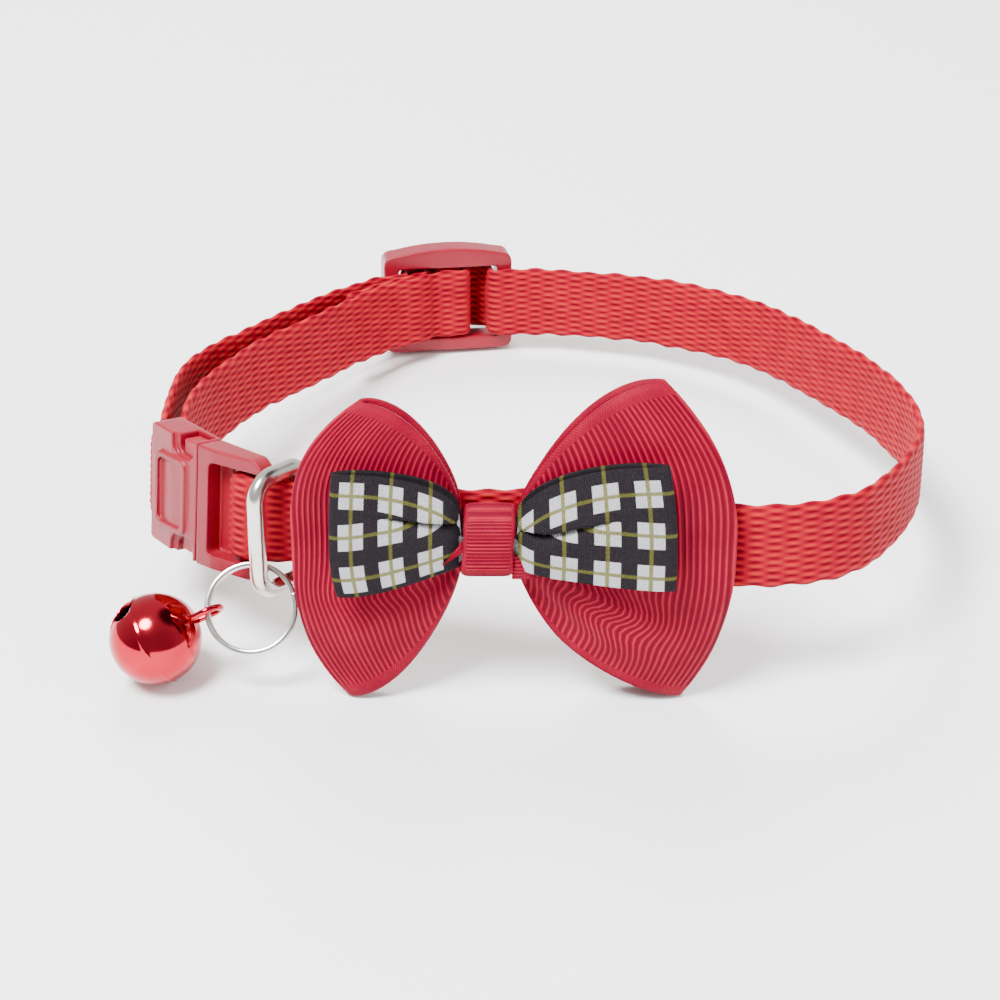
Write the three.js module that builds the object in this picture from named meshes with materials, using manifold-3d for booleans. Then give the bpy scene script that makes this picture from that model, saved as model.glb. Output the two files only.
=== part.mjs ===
// A cat's bow tie collar: a 10 mm woven strap with a side release buckle, a sliding adjuster,
// a D-ring carrying a bell on a split ring, and a folded ribbon bow with a checked bow on top.
// Millimetres. The collar stands on its lower edge: +X to the right seen from the bow's side,
// -Y towards the viewer of the bow, +Z up, with the origin under the middle of the whole object.
//
// The strap's loop lies in a tilted plane. In that plane, u runs to the right, v runs back from
// the bow and w runs up across the strap's width.

import * as THREE from 'three';
import { mergeVertices } from 'three/addons/utils/BufferGeometryUtils.js';
import Module from 'manifold-3d';

const wasm = await Module();
wasm.setup();

// Driving dimensions
const CLEARANCE = 0.3;
const STRAP = { width: 10, thickness: 1.2 };
const RIBBON_THICKNESS = 1;
const BOW_TIP = { v: -4.1, w: -18.2 };
const SLIDER = {
  origin: [-7.5, 82.4], turn: 9.4, halfLength: 9.4, upperEdge: 7.3, arch: 0.9, lowerEdge: -7.2,
  depth: 4.2, windowHalfLength: 7.2, windowHalfHeight: 5.3, barHalfLength: 1.9, barFrom: 0.9, barTo: 2.5,
};
const FEMALE = {
  origin: [-41, 15], turn: -48.7, length: 9.9, halfHeight: 7.25, depth: 4.2, faceThickness: 0.85,
  strapRoomLength: 4.2, strapRoomHalfHeight: 5.3, barFrom: 0.2, barTo: 2, barNear: 2.7, barFar: 4.1,
};
const MALE = {
  origin: [-34.2, 7.2], turn: -35, length: 9.2, halfHeight: 7.25, depth: 3, windowFrom: 1.5,
  windowHalfHeight: 5.6, barFrom: 5.2, barTo: 7.2, barNear: 1.8, barFar: 3.2,
};
const LATCH = { from: 6.2, to: 8.7, neck: 4.7, reach: 6.4, thickness: 1.5, near: 1.35 };
const D_RING = {
  origin: [-27.1, -0.9], turn: 51.5, wireRadius: 1, depth: 6.8, top: 6.2, bottom: -7.5,
  frontCorner: 2.6, backCorner: 1,
};
const SPLIT_RING = {
  centre: [-28.04, -2.37, 8.79], radius: 5.01, yaw: 0, lean: 37.7, turns: 1.8, startAngle: 92,
  wireAcross: 0.6, wireRadial: 0.65, pitch: 0.72,
};
const BELL = {
  radius: 5.25, wall: 0.5, loopRadius: 1.6, loopWire: 0.32, loopReach: 6.8, loopHeading: 5,
  slotWidth: 1, holeRadius: 1.05, holeAngle: 66, pelletRadius: 1.7, ringAngle: 186,
};
const BUCKLE_LEAN = { angle: 5, hingeHeight: 7.25, depth: 2, fullWithin: 3, noneBeyond: 7 };
const WRAP = {
  middle: -1.25, halfWidth: 2.95, back: -0.6, front: -8.1, lower: -2.4, upper: 4.2, thickness: 1, corner: 1.4,
};

const RED_WEBBING = { color: 0xd23b40, roughness: 0.75, metalness: 0 };
const RED_RIBBON = { color: 0xc4203a, roughness: 0.6, metalness: 0 };
const RED_PLASTIC = { color: 0xc8283c, roughness: 0.35, metalness: 0 };
const NICKEL = { color: 0xd0cfc8, roughness: 0.25, metalness: 1 };
const RED_METAL = { color: 0xb01526, roughness: 0.15, metalness: 1 };
const CHECKED_CLOTH = { color: 0x4a444c, roughness: 0.8, metalness: 0 };

const radians = THREE.MathUtils.degToRad;

// Geometry helpers

function solidOf(geometry) {
  const source = geometry.clone();
  source.deleteAttribute('normal');
  source.deleteAttribute('uv');
  const merged = mergeVertices(source, 1e-4);
  return new wasm.Manifold(new wasm.Mesh({
    numProp: 3,
    vertProperties: new Float32Array(merged.attributes.position.array),
    triVerts: new Uint32Array(merged.index.array),
  }));
}

function geometryOf(solid) {
  const mesh = solid.getMesh();
  const geometry = new THREE.BufferGeometry();
  geometry.setAttribute('position', new THREE.BufferAttribute(mesh.vertProperties, 3));
  geometry.setIndex(new THREE.BufferAttribute(mesh.triVerts, 1));
  return geometry;
}

function meshOf(name, geometry, look) {
  const mesh = new THREE.Mesh(geometry, new THREE.MeshStandardMaterial(look));
  mesh.name = name;
  return mesh;
}

// Joins rows of points into one closed skin. Each row goes round the section. A closed loft
// joins its last row to its first, and an open one has a fan of triangles over each end.
function loft(rows, closed) {
  const size = rows[0].length;
  const positions = rows.flat().flatMap((point) => point.toArray());
  const triangles = [];
  const spans = closed ? rows.length : rows.length - 1;
  for (let i = 0; i < spans; i += 1) {
    const here = i * size;
    const next = ((i + 1) % rows.length) * size;
    for (let j = 0; j < size; j += 1) {
      const k = (j + 1) % size;
      triangles.push(here + j, next + j, next + k, here + j, next + k, here + k);
    }
  }
  if (!closed) {
    const last = (rows.length - 1) * size;
    for (let j = 1; j < size - 1; j += 1) {
      triangles.push(0, j, j + 1, last, last + j + 1, last + j);
    }
  }
  const geometry = new THREE.BufferGeometry();
  geometry.setAttribute('position', new THREE.Float32BufferAttribute(positions, 3));
  geometry.setIndex(triangles);
  return facingOut(geometry);
}

// Turns every triangle round if the skin's signed volume shows that its faces point in.
function facingOut(geometry) {
  const { array } = geometry.attributes.position;
  const index = geometry.index.array;
  const corner = (k) => new THREE.Vector3().fromArray(array, index[k] * 3);
  let volume = 0;
  for (let k = 0; k < index.length; k += 3) {
    volume += corner(k).dot(corner(k + 1).cross(corner(k + 2)));
  }
  if (volume < 0) {
    for (let k = 0; k < index.length; k += 3) {
      [index[k + 1], index[k + 2]] = [index[k + 2], index[k + 1]];
    }
  }
  return geometry;
}

// A frame standing in the strap's plane: x runs along the turned direction, y runs from the
// outer face towards the neck, or away from it where the turn says so, and z runs up.
function frameOf({ origin, turn }) {
  const frame = new THREE.Matrix4().makeRotationZ(radians(turn));
  return frame.setPosition(origin[0], origin[1], 0);
}

function placeOf(frame, x, y) {
  const point = new THREE.Vector3(x, y, 0).applyMatrix4(frame);
  return [point.x, point.y];
}

// The buckle leans out at its lower edge. Its halves take the whole lean, and the strap eases
// into it: share is 1 within the buckle and 0 away from it.
function leanMatrix(share) {
  const { angle, hingeHeight, depth } = BUCKLE_LEAN;
  const female = frameOf(FEMALE);
  const hinge = new THREE.Vector3(0, depth, hingeHeight).applyMatrix4(female);
  const along = new THREE.Vector3(1, 0, 0).transformDirection(female);
  const there = new THREE.Matrix4().makeTranslation(hinge.x, hinge.y, hinge.z);
  const back = new THREE.Matrix4().makeTranslation(-hinge.x, -hinge.y, -hinge.z);
  return there.multiply(new THREE.Matrix4().makeRotationAxis(along, -radians(angle) * share)).multiply(back);
}

function leanShare(point) {
  const { fullWithin, noneBeyond } = BUCKLE_LEAN;
  const ends = [placeOf(frameOf(FEMALE), 0, 2), placeOf(frameOf(MALE), 4, 2)];
  const buckle = new THREE.Line3(...ends.map(([u, v]) => new THREE.Vector3(u, v, 0)));
  const nearest = buckle.closestPointToPoint(point, true, new THREE.Vector3());
  return 1 - THREE.MathUtils.smoothstep(nearest.distanceTo(point), fullWithin, noneBeyond);
}

function block(x, y, z) {
  const geometry = new THREE.BoxGeometry(x[1] - x[0], y[1] - y[0], z[1] - z[0]);
  geometry.translate((x[0] + x[1]) / 2, (y[0] + y[1]) / 2, (z[0] + z[1]) / 2);
  return solidOf(geometry);
}

// A prism on a plan outline, from one height to another, with rounded outline corners.
function prism(points, heights, corner) {
  const shape = roundedShape(points, corner);
  const geometry = new THREE.ExtrudeGeometry(shape, {
    depth: heights[1] - heights[0], bevelEnabled: false, curveSegments: 4,
  });
  geometry.translate(0, 0, heights[0]);
  return solidOf(geometry);
}

function roundedShape(points, corner) {
  const shape = new THREE.Shape();
  const count = points.length;
  points.forEach((point, i) => {
    const here = new THREE.Vector2(...point);
    const before = new THREE.Vector2(...points[(i + count - 1) % count]).sub(here);
    const after = new THREE.Vector2(...points[(i + 1) % count]).sub(here);
    const start = here.clone().add(before.setLength(Math.min(corner, before.length() * 0.45)));
    const end = here.clone().add(after.setLength(Math.min(corner, after.length() * 0.45)));
    if (i === 0) {
      shape.moveTo(start.x, start.y);
    } else {
      shape.lineTo(start.x, start.y);
    }
    shape.quadraticCurveTo(here.x, here.y, end.x, end.y);
  });
  shape.closePath();
  return shape;
}

// A round wire along a planar curve. points are the wire's middle line, across is the unit
// vector square to their plane.
function wire(points, across, radius, sides, closed) {
  const count = points.length;
  const rows = points.map((point, i) => {
    const ahead = points[closed ? (i + 1) % count : Math.min(i + 1, count - 1)];
    const behind = points[closed ? (i + count - 1) % count : Math.max(i - 1, 0)];
    const along = ahead.clone().sub(behind).normalize();
    const side = across.clone().cross(along).normalize();
    return Array.from({ length: sides }, (_, k) => {
      const angle = (k / sides) * Math.PI * 2;
      return point.clone()
        .addScaledVector(side, Math.cos(angle) * radius)
        .addScaledVector(across, Math.sin(angle) * radius);
    });
  });
  return loft(rows, closed);
}

// The strap
// One length of webbing. It starts at the sewn end behind the bow, goes round the male half's
// bar, comes back in front through the D-ring and behind the bow, goes round the neck and
// through the slider, then round the female half's bar and back to the slider's middle bar,
// where its sewn end is turned over.
const STRAP_SEAT = CLEARANCE + STRAP.thickness / 2;

// The strap's middle line round a bar's edge, an arc given by two angles in the bar's frame.
function roundEdge(frame, x, y, from, to) {
  return [0, 0.5, 1].map((share) => {
    const angle = radians(from + (to - from) * share);
    return placeOf(frame, x + STRAP_SEAT * Math.cos(angle), y + STRAP_SEAT * Math.sin(angle));
  });
}

function strapGeometry() {
  const slider = frameOf(SLIDER);
  const female = frameOf(FEMALE);
  const male = frameOf(MALE);
  const { barHalfLength, barFrom, barTo, windowHalfLength, halfLength } = SLIDER;
  const over = barTo + STRAP_SEAT + STRAP.thickness + CLEARANCE;
  const route = [
    [-6.5, 2.1], [-12, 2.75], [-17, 4.2], [-20.3, 5.9], [-24, 7.5],
    placeOf(male, MALE.barTo + 0.3, MALE.barFar + STRAP_SEAT + 0.1),
    ...roundEdge(male, MALE.barFrom, MALE.barFar, 90, 180),
    ...roundEdge(male, MALE.barFrom, MALE.barNear, 180, 270),
    placeOf(male, MALE.barTo + 0.2, MALE.barNear - STRAP_SEAT),
    [-25, 2.9], [-20.5, 1.9], [-13, 0.9], [-6, 0.4], [0, 0.3],
    [8, 0.1], [14, -0.5], [19, -1.9], [23, -3.1], [27, -4.1], [30.9, -4], [35.4, -2.9],
    [40.1, 0], [44.4, 5.8], [47.8, 12.5], [50, 19], [50.8, 26], [50.3, 33], [49, 39.5],
    [47.2, 45.5], [44.4, 52], [40.4, 60.5], [36, 67.8], [30.8, 73.2], [25.5, 77],
    [20, 79.8], [14.4, 81.4],
    placeOf(slider, halfLength + 4, -STRAP_SEAT - 0.6),
    placeOf(slider, halfLength + 0.6, -STRAP_SEAT - 0.1),
    ...roundEdge(slider, windowHalfLength, 0, -90, -180),
    placeOf(slider, windowHalfLength - 1, 2.4),
    placeOf(slider, windowHalfLength - 2.6, over - 0.35),
    placeOf(slider, 1.5, over),
    placeOf(slider, -1.5, over),
    placeOf(slider, 2.6 - windowHalfLength, over - 0.35),
    placeOf(slider, 1 - windowHalfLength, 2.4),
    ...roundEdge(slider, -windowHalfLength, 0, 0, -90),
    placeOf(slider, -halfLength - 0.8, -STRAP_SEAT - 0.2),
    [-19.9, 76.9], [-24.6, 71.2], [-29.8, 63.3], [-34.4, 55.6], [-38.6, 48.4],
    [-40.5, 41.8], [-40.9, 35], [-40.8, 28], [-40.5, 22],
    placeOf(female, -0.8, FEMALE.barNear - STRAP_SEAT - 0.2),
    ...roundEdge(female, FEMALE.barTo, FEMALE.barNear, -90, 0),
    ...roundEdge(female, FEMALE.barTo, FEMALE.barFar, 0, 90),
    placeOf(female, -0.8, FEMALE.barFar + STRAP_SEAT),
    [-38, 22.5], [-38.4, 28.5], [-37.5, 35.5], [-35.4, 42.8], [-31.9, 51.4], [-27.6, 58.3],
    [-24.3, 63.5], [-20.1, 70.4],
    placeOf(slider, -8.4, -4.35),
    placeOf(slider, -4.7, -2.5),
    placeOf(slider, -barHalfLength, barFrom - STRAP_SEAT - 0.4),
    ...roundEdge(slider, barHalfLength, barFrom, -90, 0),
    ...roundEdge(slider, barHalfLength, barTo, 0, 90),
    ...roundEdge(slider, -barHalfLength, barTo, 90, 180),
    placeOf(slider, -barHalfLength - 1.2, barFrom),
    placeOf(slider, -5.1, -0.85),
    placeOf(slider, -8, -2.75),
    [-18.7, 74.4], [-21.4, 71.2],
  ];
  const curve = new THREE.CatmullRomCurve3(
    route.map(([u, v]) => new THREE.Vector3(u, v, 0)), false, 'centripetal',
  );
  const stepsPerSpan = 2;
  const steps = (route.length - 1) * stepsPerSpan;
  const half = { t: STRAP.thickness / 2, w: STRAP.width / 2 };
  const rows = Array.from({ length: steps + 1 }, (_, i) => {
    const middle = curve.getPoint(i / steps);
    const along = curve.getTangent(i / steps);
    const side = new THREE.Vector3(-along.y, along.x, 0);
    const lean = leanMatrix(leanShare(middle));
    return [[1, -1], [1, 1], [-1, 1], [-1, -1]].map(([s, h]) => middle.clone()
      .addScaledVector(side, s * half.t)
      .setZ(h * half.w)
      .applyMatrix4(lean));
  });
  return loft(rows, false);
}

// The slider
// A flat frame with an arched upper edge and one middle bar, lying on the strap's outer side.
function sliderGeometry() {
  const { halfLength, upperEdge, arch, lowerEdge, depth, windowHalfLength } = SLIDER;
  const corner = 1.6;
  const outline = new THREE.Shape();
  outline.moveTo(-halfLength + corner, lowerEdge);
  outline.lineTo(halfLength - corner, lowerEdge);
  outline.quadraticCurveTo(halfLength, lowerEdge, halfLength, lowerEdge + corner);
  outline.lineTo(halfLength, upperEdge - corner);
  outline.quadraticCurveTo(halfLength, upperEdge, halfLength - corner, upperEdge);
  outline.quadraticCurveTo(0, upperEdge + 2 * arch, corner - halfLength, upperEdge);
  outline.quadraticCurveTo(-halfLength, upperEdge, -halfLength, upperEdge - corner);
  outline.lineTo(-halfLength, lowerEdge + corner);
  outline.quadraticCurveTo(-halfLength, lowerEdge, corner - halfLength, lowerEdge);
  const plate = new THREE.ExtrudeGeometry(outline, { depth, bevelEnabled: false, curveSegments: 6 });
  plate.rotateX(Math.PI / 2);
  plate.translate(0, depth, 0);
  const tall = SLIDER.windowHalfHeight;
  const window = block([-windowHalfLength, windowHalfLength], [-1, depth + 1], [-tall, tall]);
  const bar = block(
    [-SLIDER.barHalfLength, SLIDER.barHalfLength], [SLIDER.barFrom, SLIDER.barTo],
    [-tall - 0.2, tall + 0.2],
  );
  return geometryOf(solidOf(plate).subtract(window).add(bar)).applyMatrix4(frameOf(SLIDER));
}

// The buckle
// The female half is a shallow box: its outer face carries a raised frame, its rear holds the
// strap's bar and its front is a socket with a window in each edge for the male half's latches.
function femaleGeometry() {
  const { length, halfHeight, depth, strapRoomLength, strapRoomHalfHeight } = FEMALE;
  const outline = [[0, 0.4], [length * 0.5, -0.1], [length, 0], [length, depth - 0.6], [0.4, depth]];
  const body = prism(outline, [-halfHeight, halfHeight], 0.6);
  const room = block(
    [-1, strapRoomLength], [FEMALE.faceThickness, depth + 2],
    [-strapRoomHalfHeight, strapRoomHalfHeight],
  );
  const bar = block(
    [FEMALE.barFrom, FEMALE.barTo], [FEMALE.barNear, FEMALE.barFar],
    [-strapRoomHalfHeight - 0.2, strapRoomHalfHeight + 0.2],
  );
  const near = LATCH.near - CLEARANCE;
  const far = LATCH.near + LATCH.thickness + CLEARANCE;
  const inside = LATCH.neck + CLEARANCE;
  const socket = block([LATCH.from - 0.5, length + 1], [near, far], [-inside, inside]);
  const panel = block([1.8, 8.2], [-0.4, 0.5], [-4.7, 4.7]);
  const panelInside = block([2.4, 7.6], [-0.6, 0.5], [-4.1, 4.1]);
  let solid = body.subtract(room).subtract(socket).add(bar).add(panel.subtract(panelInside));
  for (const side of [-1, 1]) {
    const notch = [[LATCH.from - 0.4, -1], [LATCH.to + 0.4, -1], [LATCH.to + 0.4, far], [LATCH.from - 0.4, far]];
    const heights = side > 0 ? [inside - 0.1, halfHeight + 1] : [-halfHeight - 1, 0.1 - inside];
    solid = solid.subtract(prism(notch, heights, 0.6));
  }
  return geometryOf(solid).applyMatrix4(frameOf(FEMALE)).applyMatrix4(leanMatrix(1));
}

// The male half is an open frame with a bar for the strap, and two latch arms that lie in the
// female half's socket.
function maleGeometry() {
  const male = frameOf(MALE);
  const female = frameOf(FEMALE);
  const seam = FEMALE.length + CLEARANCE;
  const outline = [
    placeOf(female, seam, 0), placeOf(male, 2.2, -0.1), placeOf(male, MALE.length, 0.4),
    placeOf(male, MALE.length, MALE.depth - 0.5), placeOf(male, 2, MALE.depth + 0.3),
    placeOf(female, seam, 3.5),
  ];
  const frame = prism(outline, [-MALE.halfHeight, MALE.halfHeight], 0.6);
  const tall = MALE.windowHalfHeight;
  const window = block([MALE.windowFrom, MALE.length + 2], [-2, 6], [-tall, tall]);
  const bar = block([MALE.barFrom, MALE.barTo], [MALE.barNear, MALE.barFar], [-tall - 0.3, tall + 0.3]);
  let solid = frame.subtract(solidOf(geometryOf(window).applyMatrix4(male)))
    .add(solidOf(geometryOf(bar).applyMatrix4(male)));
  const { from, to, neck, reach, near, thickness } = LATCH;
  for (const side of [-1, 1]) {
    const span = (low, high) => (side > 0 ? [low, high] : [-high, -low]);
    const arm = block([from, seam + 0.6], [near, near + thickness], span(neck - 1.9, neck));
    const latch = block([from, to], [near, near + thickness], span(neck - 0.2, reach));
    solid = solid.add(solidOf(geometryOf(arm.add(latch)).applyMatrix4(female)));
  }
  return geometryOf(solid).applyMatrix4(leanMatrix(1));
}

// The D-ring
// Its straight bar stands between the strap's two layers and its bow passes in front of them.
function dRingGeometry() {
  const { depth, top, bottom, frontCorner, backCorner } = D_RING;
  const path = new THREE.Path();
  path.moveTo(0, bottom + frontCorner);
  path.lineTo(0, top - frontCorner);
  path.absarc(frontCorner, top - frontCorner, frontCorner, Math.PI, Math.PI / 2, true);
  path.lineTo(depth - backCorner, top);
  path.absarc(depth - backCorner, top - backCorner, backCorner, Math.PI / 2, 0, true);
  path.lineTo(depth, bottom + backCorner);
  path.absarc(depth - backCorner, bottom + backCorner, backCorner, 0, -Math.PI / 2, true);
  path.lineTo(frontCorner, bottom);
  path.absarc(frontCorner, bottom + frontCorner, frontCorner, -Math.PI / 2, -Math.PI, true);
  const outline = path.getSpacedPoints(56).slice(0, -1);
  const points = outline.map((point) => new THREE.Vector3(point.x, 0, point.y));
  const across = new THREE.Vector3(0, 1, 0);
  return wire(points, across, D_RING.wireRadius, 12, true).applyMatrix4(frameOf(D_RING));
}

// The split ring and the bell stand in the table's frame, with x and y from the bow's middle.
function splitRingFrame() {
  const right = new THREE.Vector3(Math.cos(radians(SPLIT_RING.yaw)), Math.sin(radians(SPLIT_RING.yaw)), 0);
  const vertical = new THREE.Vector3(0, 0, 1);
  const square = right.clone().cross(vertical);
  const up = vertical.multiplyScalar(Math.cos(radians(SPLIT_RING.lean)))
    .addScaledVector(square, -Math.sin(radians(SPLIT_RING.lean)));
  return { centre: new THREE.Vector3(...SPLIT_RING.centre), right, up, axis: right.clone().cross(up) };
}

function onSplitRing(angle, radius) {
  const { centre, right, up } = splitRingFrame();
  return centre.clone()
    .addScaledVector(right, Math.cos(angle) * radius)
    .addScaledVector(up, Math.sin(angle) * radius);
}

function splitRingGeometry() {
  const { centre, axis } = splitRingFrame();
  const { turns, startAngle, pitch, radius, wireAcross, wireRadial } = SPLIT_RING;
  const steps = Math.round(turns * 28);
  const rows = Array.from({ length: steps + 1 }, (_, i) => {
    const angle = radians(startAngle + (turns * 360 * i) / steps);
    const shift = pitch * turns * (i / steps - 0.5);
    const middle = onSplitRing(angle, radius).addScaledVector(axis, shift);
    const outwards = onSplitRing(angle, radius).sub(centre).normalize();
    return Array.from({ length: 6 }, (_unused, k) => {
      const turn = radians(30 + k * 60);
      return middle.clone()
        .addScaledVector(outwards, (Math.cos(turn) / Math.cos(radians(30))) * wireRadial * 0.5)
        .addScaledVector(axis, Math.sin(turn) * wireAcross * 0.5);
    });
  });
  return loft(rows, false);
}

// The bell
// A thin sphere with a slot across its far pole, ending in two round holes, and a wire staple
// that the split ring passes through.
function bellPlace() {
  const eye = onSplitRing(radians(BELL.ringAngle), SPLIT_RING.radius);
  const rise = eye.z - BELL.radius;
  const run = Math.sqrt(BELL.loopReach ** 2 - rise ** 2);
  const heading = radians(BELL.loopHeading);
  const centre = new THREE.Vector3(
    eye.x - run * Math.cos(heading), eye.y - run * Math.sin(heading), BELL.radius,
  );
  const axis = eye.clone().sub(centre).normalize();
  return { eye, centre, axis };
}

function bellGeometry() {
  const { eye, centre, axis } = bellPlace();
  const { radius, wall, slotWidth, holeRadius, loopRadius } = BELL;
  const shell = (size) => solidOf(new THREE.SphereGeometry(size, 28, 18));
  let solid = shell(radius).subtract(shell(radius - wall));
  const reach = radius * Math.sin(radians(BELL.holeAngle));
  solid = solid.subtract(block([-reach, reach], [-slotWidth / 2, slotWidth / 2], [-radius - 1, -1.5]));
  for (const side of [-1, 1]) {
    const hole = new THREE.CylinderGeometry(holeRadius, holeRadius, radius, 12);
    hole.rotateX(Math.PI / 2);
    hole.translate(0, 0, -radius);
    hole.rotateY(side * radians(BELL.holeAngle));
    solid = solid.subtract(solidOf(hole));
  }
  const slotUp = new THREE.Vector3(0, 0, 1).addScaledVector(axis, -axis.z).normalize();
  const place = new THREE.Matrix4().makeBasis(slotUp, axis.clone().cross(slotUp), axis);
  place.setPosition(centre);
  const body = solidOf(geometryOf(solid).applyMatrix4(place));
  const { centre: ringCentre, axis: ringAxis } = splitRingFrame();
  const alongRing = ringAxis.clone().cross(eye.clone().sub(ringCentre)).normalize();
  const square = alongRing.clone().addScaledVector(axis, -alongRing.dot(axis)).normalize();
  const side = square.clone().cross(axis).normalize();
  const legs = BELL.loopReach - radius + wall / 2;
  const bend = Array.from({ length: 13 }, (_, i) => {
    const angle = Math.PI * (i / 12 - 0.5);
    return eye.clone()
      .addScaledVector(side, Math.sin(angle) * loopRadius)
      .addScaledVector(axis, Math.cos(angle) * loopRadius);
  });
  const foot = (sign) => eye.clone()
    .addScaledVector(side, sign * loopRadius * 0.8)
    .addScaledVector(axis, -legs);
  const staple = wire([foot(-1), ...bend, foot(1)], square, BELL.loopWire, 6, false);
  return geometryOf(body.add(solidOf(staple)));
}

function pelletGeometry() {
  const { centre } = bellPlace();
  const low = BELL.wall + CLEARANCE + BELL.pelletRadius;
  const geometry = new THREE.SphereGeometry(BELL.pelletRadius, 12, 8);
  return geometry.translate(centre.x, centre.y, low);
}

// The bows
// Each bow is one closed band of ribbon: it crosses the knot in front, folds back at the right
// end, crosses behind, and folds back at the left end. side is -1 for the left lobe. The tips
// are the corners of the folded end; rise and fall shape the edges from the knot to the tips.
const BIG_BOW = {
  knot: { middle: 0.9, halfHeight: 2.05, v: -3.05 },
  plyGap: 0.65,
  lobes: [
    {
      side: 1, mid: 25.6, top: [17.4, 19.3], low: [20.4, BOW_TIP.w], bulge: 2.3,
      rise: 0.72, fall: 0.54, foldV: -6.4, tipV: BOW_TIP.v, puff: 1.1, forward: 1,
    },
    {
      side: -1, mid: 22.7, top: [14.9, 17], low: [17, BOW_TIP.w], bulge: 3,
      rise: 0.57, fall: 0.58, foldV: -4.3, tipV: BOW_TIP.v, puff: 1.1, forward: 1,
    },
  ],
};
const CHECK_BOW = {
  knot: { middle: 0.9, halfHeight: 2.05, v: -5.65 },
  plyGap: 0.65,
  lobes: [
    {
      side: 1, mid: 18.9, top: [17.8, 11.7], low: [18.9, -2.7], bulge: 2,
      rise: 0.56, fall: 0.53, foldV: -9.7, tipV: -9.7, puff: 0.15, forward: 0.7,
    },
    {
      side: -1, mid: 18.3, top: [17.8, 10.4], low: [17.6, -4], bulge: 2,
      rise: 0.54, fall: 0.6, foldV: -8.4, tipV: -8.4, puff: 0.15, forward: 0.6,
    },
  ],
};

// A point on the middle of a ply. along runs from the knot (0) to the fold (1), across runs
// from the lower edge (-1) to the upper one (1), and ply is -1 in front and 1 behind.
function ribbonPoint(bow, lobe, along, across, ply) {
  const { knot, plyGap } = bow;
  const [tipU, tipW] = across > 0 ? lobe.top : lobe.low;
  const far = lobe.mid + (tipU - lobe.mid) * Math.abs(across) ** lobe.bulge;
  const start = WRAP.halfWidth + lobe.side * WRAP.middle;
  const u = start + (far - start) * along;
  const ease = across > 0 ? lobe.rise : lobe.fall;
  const spread = Math.sin((along * Math.PI) / 2) ** ease;
  const knotEdge = knot.middle + Math.sign(across) * knot.halfHeight;
  const edge = knotEdge + (tipW - knotEdge) * spread;
  const w = knot.middle + (edge - knot.middle) * Math.abs(across);
  const foldV = lobe.foldV + (lobe.tipV - lobe.foldV) * across ** 2;
  const centreV = knot.v + (foldV - knot.v) * along ** lobe.forward;
  const open = plyGap + lobe.puff * Math.sin(along * Math.PI) ** 0.8 * (1 - 0.5 * across ** 2);
  const v = centreV + ply * open * Math.sqrt(1 - along ** 12);
  return new THREE.Vector3(lobe.side * u, v, w);
}

function ribbonGeometry(bow, stepsAlong, stepsAcross) {
  const walk = Array.from({ length: stepsAlong + 1 }, (_, i) => Math.sin((i / stepsAlong) * (Math.PI / 2)));
  const back = walk.slice(0, -1).reverse();
  const stations = [];
  bow.lobes.forEach((lobe, i) => {
    const first = i === 0 ? -1 : 1;
    walk.forEach((along) => stations.push({ lobe, along, ply: along === 1 ? 0 : first }));
    back.forEach((along) => stations.push({ lobe, along, ply: -first }));
  });
  const middle = stations.map(({ lobe, along, ply }) => Array.from(
    { length: stepsAcross + 1 },
    (_, j) => ribbonPoint(bow, lobe, along, (2 * j) / stepsAcross - 1, ply),
  ));
  const count = middle.length;
  const half = RIBBON_THICKNESS / 2;
  const rows = middle.map((line, i) => {
    const ahead = middle[(i + 1) % count];
    const behind = middle[(i + count - 1) % count];
    const faces = line.map((point, j) => {
      const along = ahead[j].clone().sub(behind[j]);
      const across = line[Math.min(j + 1, stepsAcross)].clone().sub(line[Math.max(j - 1, 0)]);
      const normal = along.cross(across).normalize();
      return [point.clone().addScaledVector(normal, half), point.clone().addScaledVector(normal, -half)];
    });
    return [...faces.map((pair) => pair[0]), ...faces.map((pair) => pair[1]).reverse()];
  });
  return loft(rows, true);
}

// The centre wrap is a short band round the middle of both bows.
function wrapGeometry() {
  const { halfWidth, back, front, lower, upper, thickness, corner } = WRAP;
  const ring = (inset) => [
    [front + inset, lower + inset], [back - inset, lower + inset],
    [back - inset, upper - inset], [front + inset, upper - inset],
  ];
  const band = roundedShape(ring(0), corner);
  band.holes.push(roundedShape(ring(thickness), corner - thickness * 0.8));
  const geometry = new THREE.ExtrudeGeometry(band, {
    depth: halfWidth * 2, bevelEnabled: false, curveSegments: 4,
  });
  geometry.translate(0, 0, WRAP.middle - halfWidth);
  const axes = new THREE.Matrix4().makeBasis(
    new THREE.Vector3(0, 1, 0), new THREE.Vector3(0, 0, 1), new THREE.Vector3(1, 0, 0),
  );
  return geometry.applyMatrix4(axes);
}

// The standing pose: the bow's lower tips and the slider's lower outer edge touch the table.
const sliderBack = placeOf(frameOf(SLIDER), -SLIDER.halfLength / 2, SLIDER.depth)[1];
const tilt = Math.atan2(SLIDER.lowerEdge - BOW_TIP.w, sliderBack - BOW_TIP.v);
const height = BOW_TIP.v * Math.sin(tilt) - BOW_TIP.w * Math.cos(tilt);

const strapPlane = new THREE.Group();
strapPlane.rotation.x = -tilt;
strapPlane.position.z = height;
strapPlane.add(
  meshOf('strap', strapGeometry(), RED_WEBBING),
  meshOf('slider', sliderGeometry(), RED_PLASTIC),
  meshOf('buckle_female', femaleGeometry(), RED_PLASTIC),
  meshOf('buckle_male', maleGeometry(), RED_PLASTIC),
  meshOf('d_ring', dRingGeometry(), NICKEL),
  meshOf('bow_ribbon', ribbonGeometry(BIG_BOW, 11, 8), RED_RIBBON),
  meshOf('check_bow', ribbonGeometry(CHECK_BOW, 9, 6), CHECKED_CLOTH),
  meshOf('centre_wrap', wrapGeometry(), RED_RIBBON),
);

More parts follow.
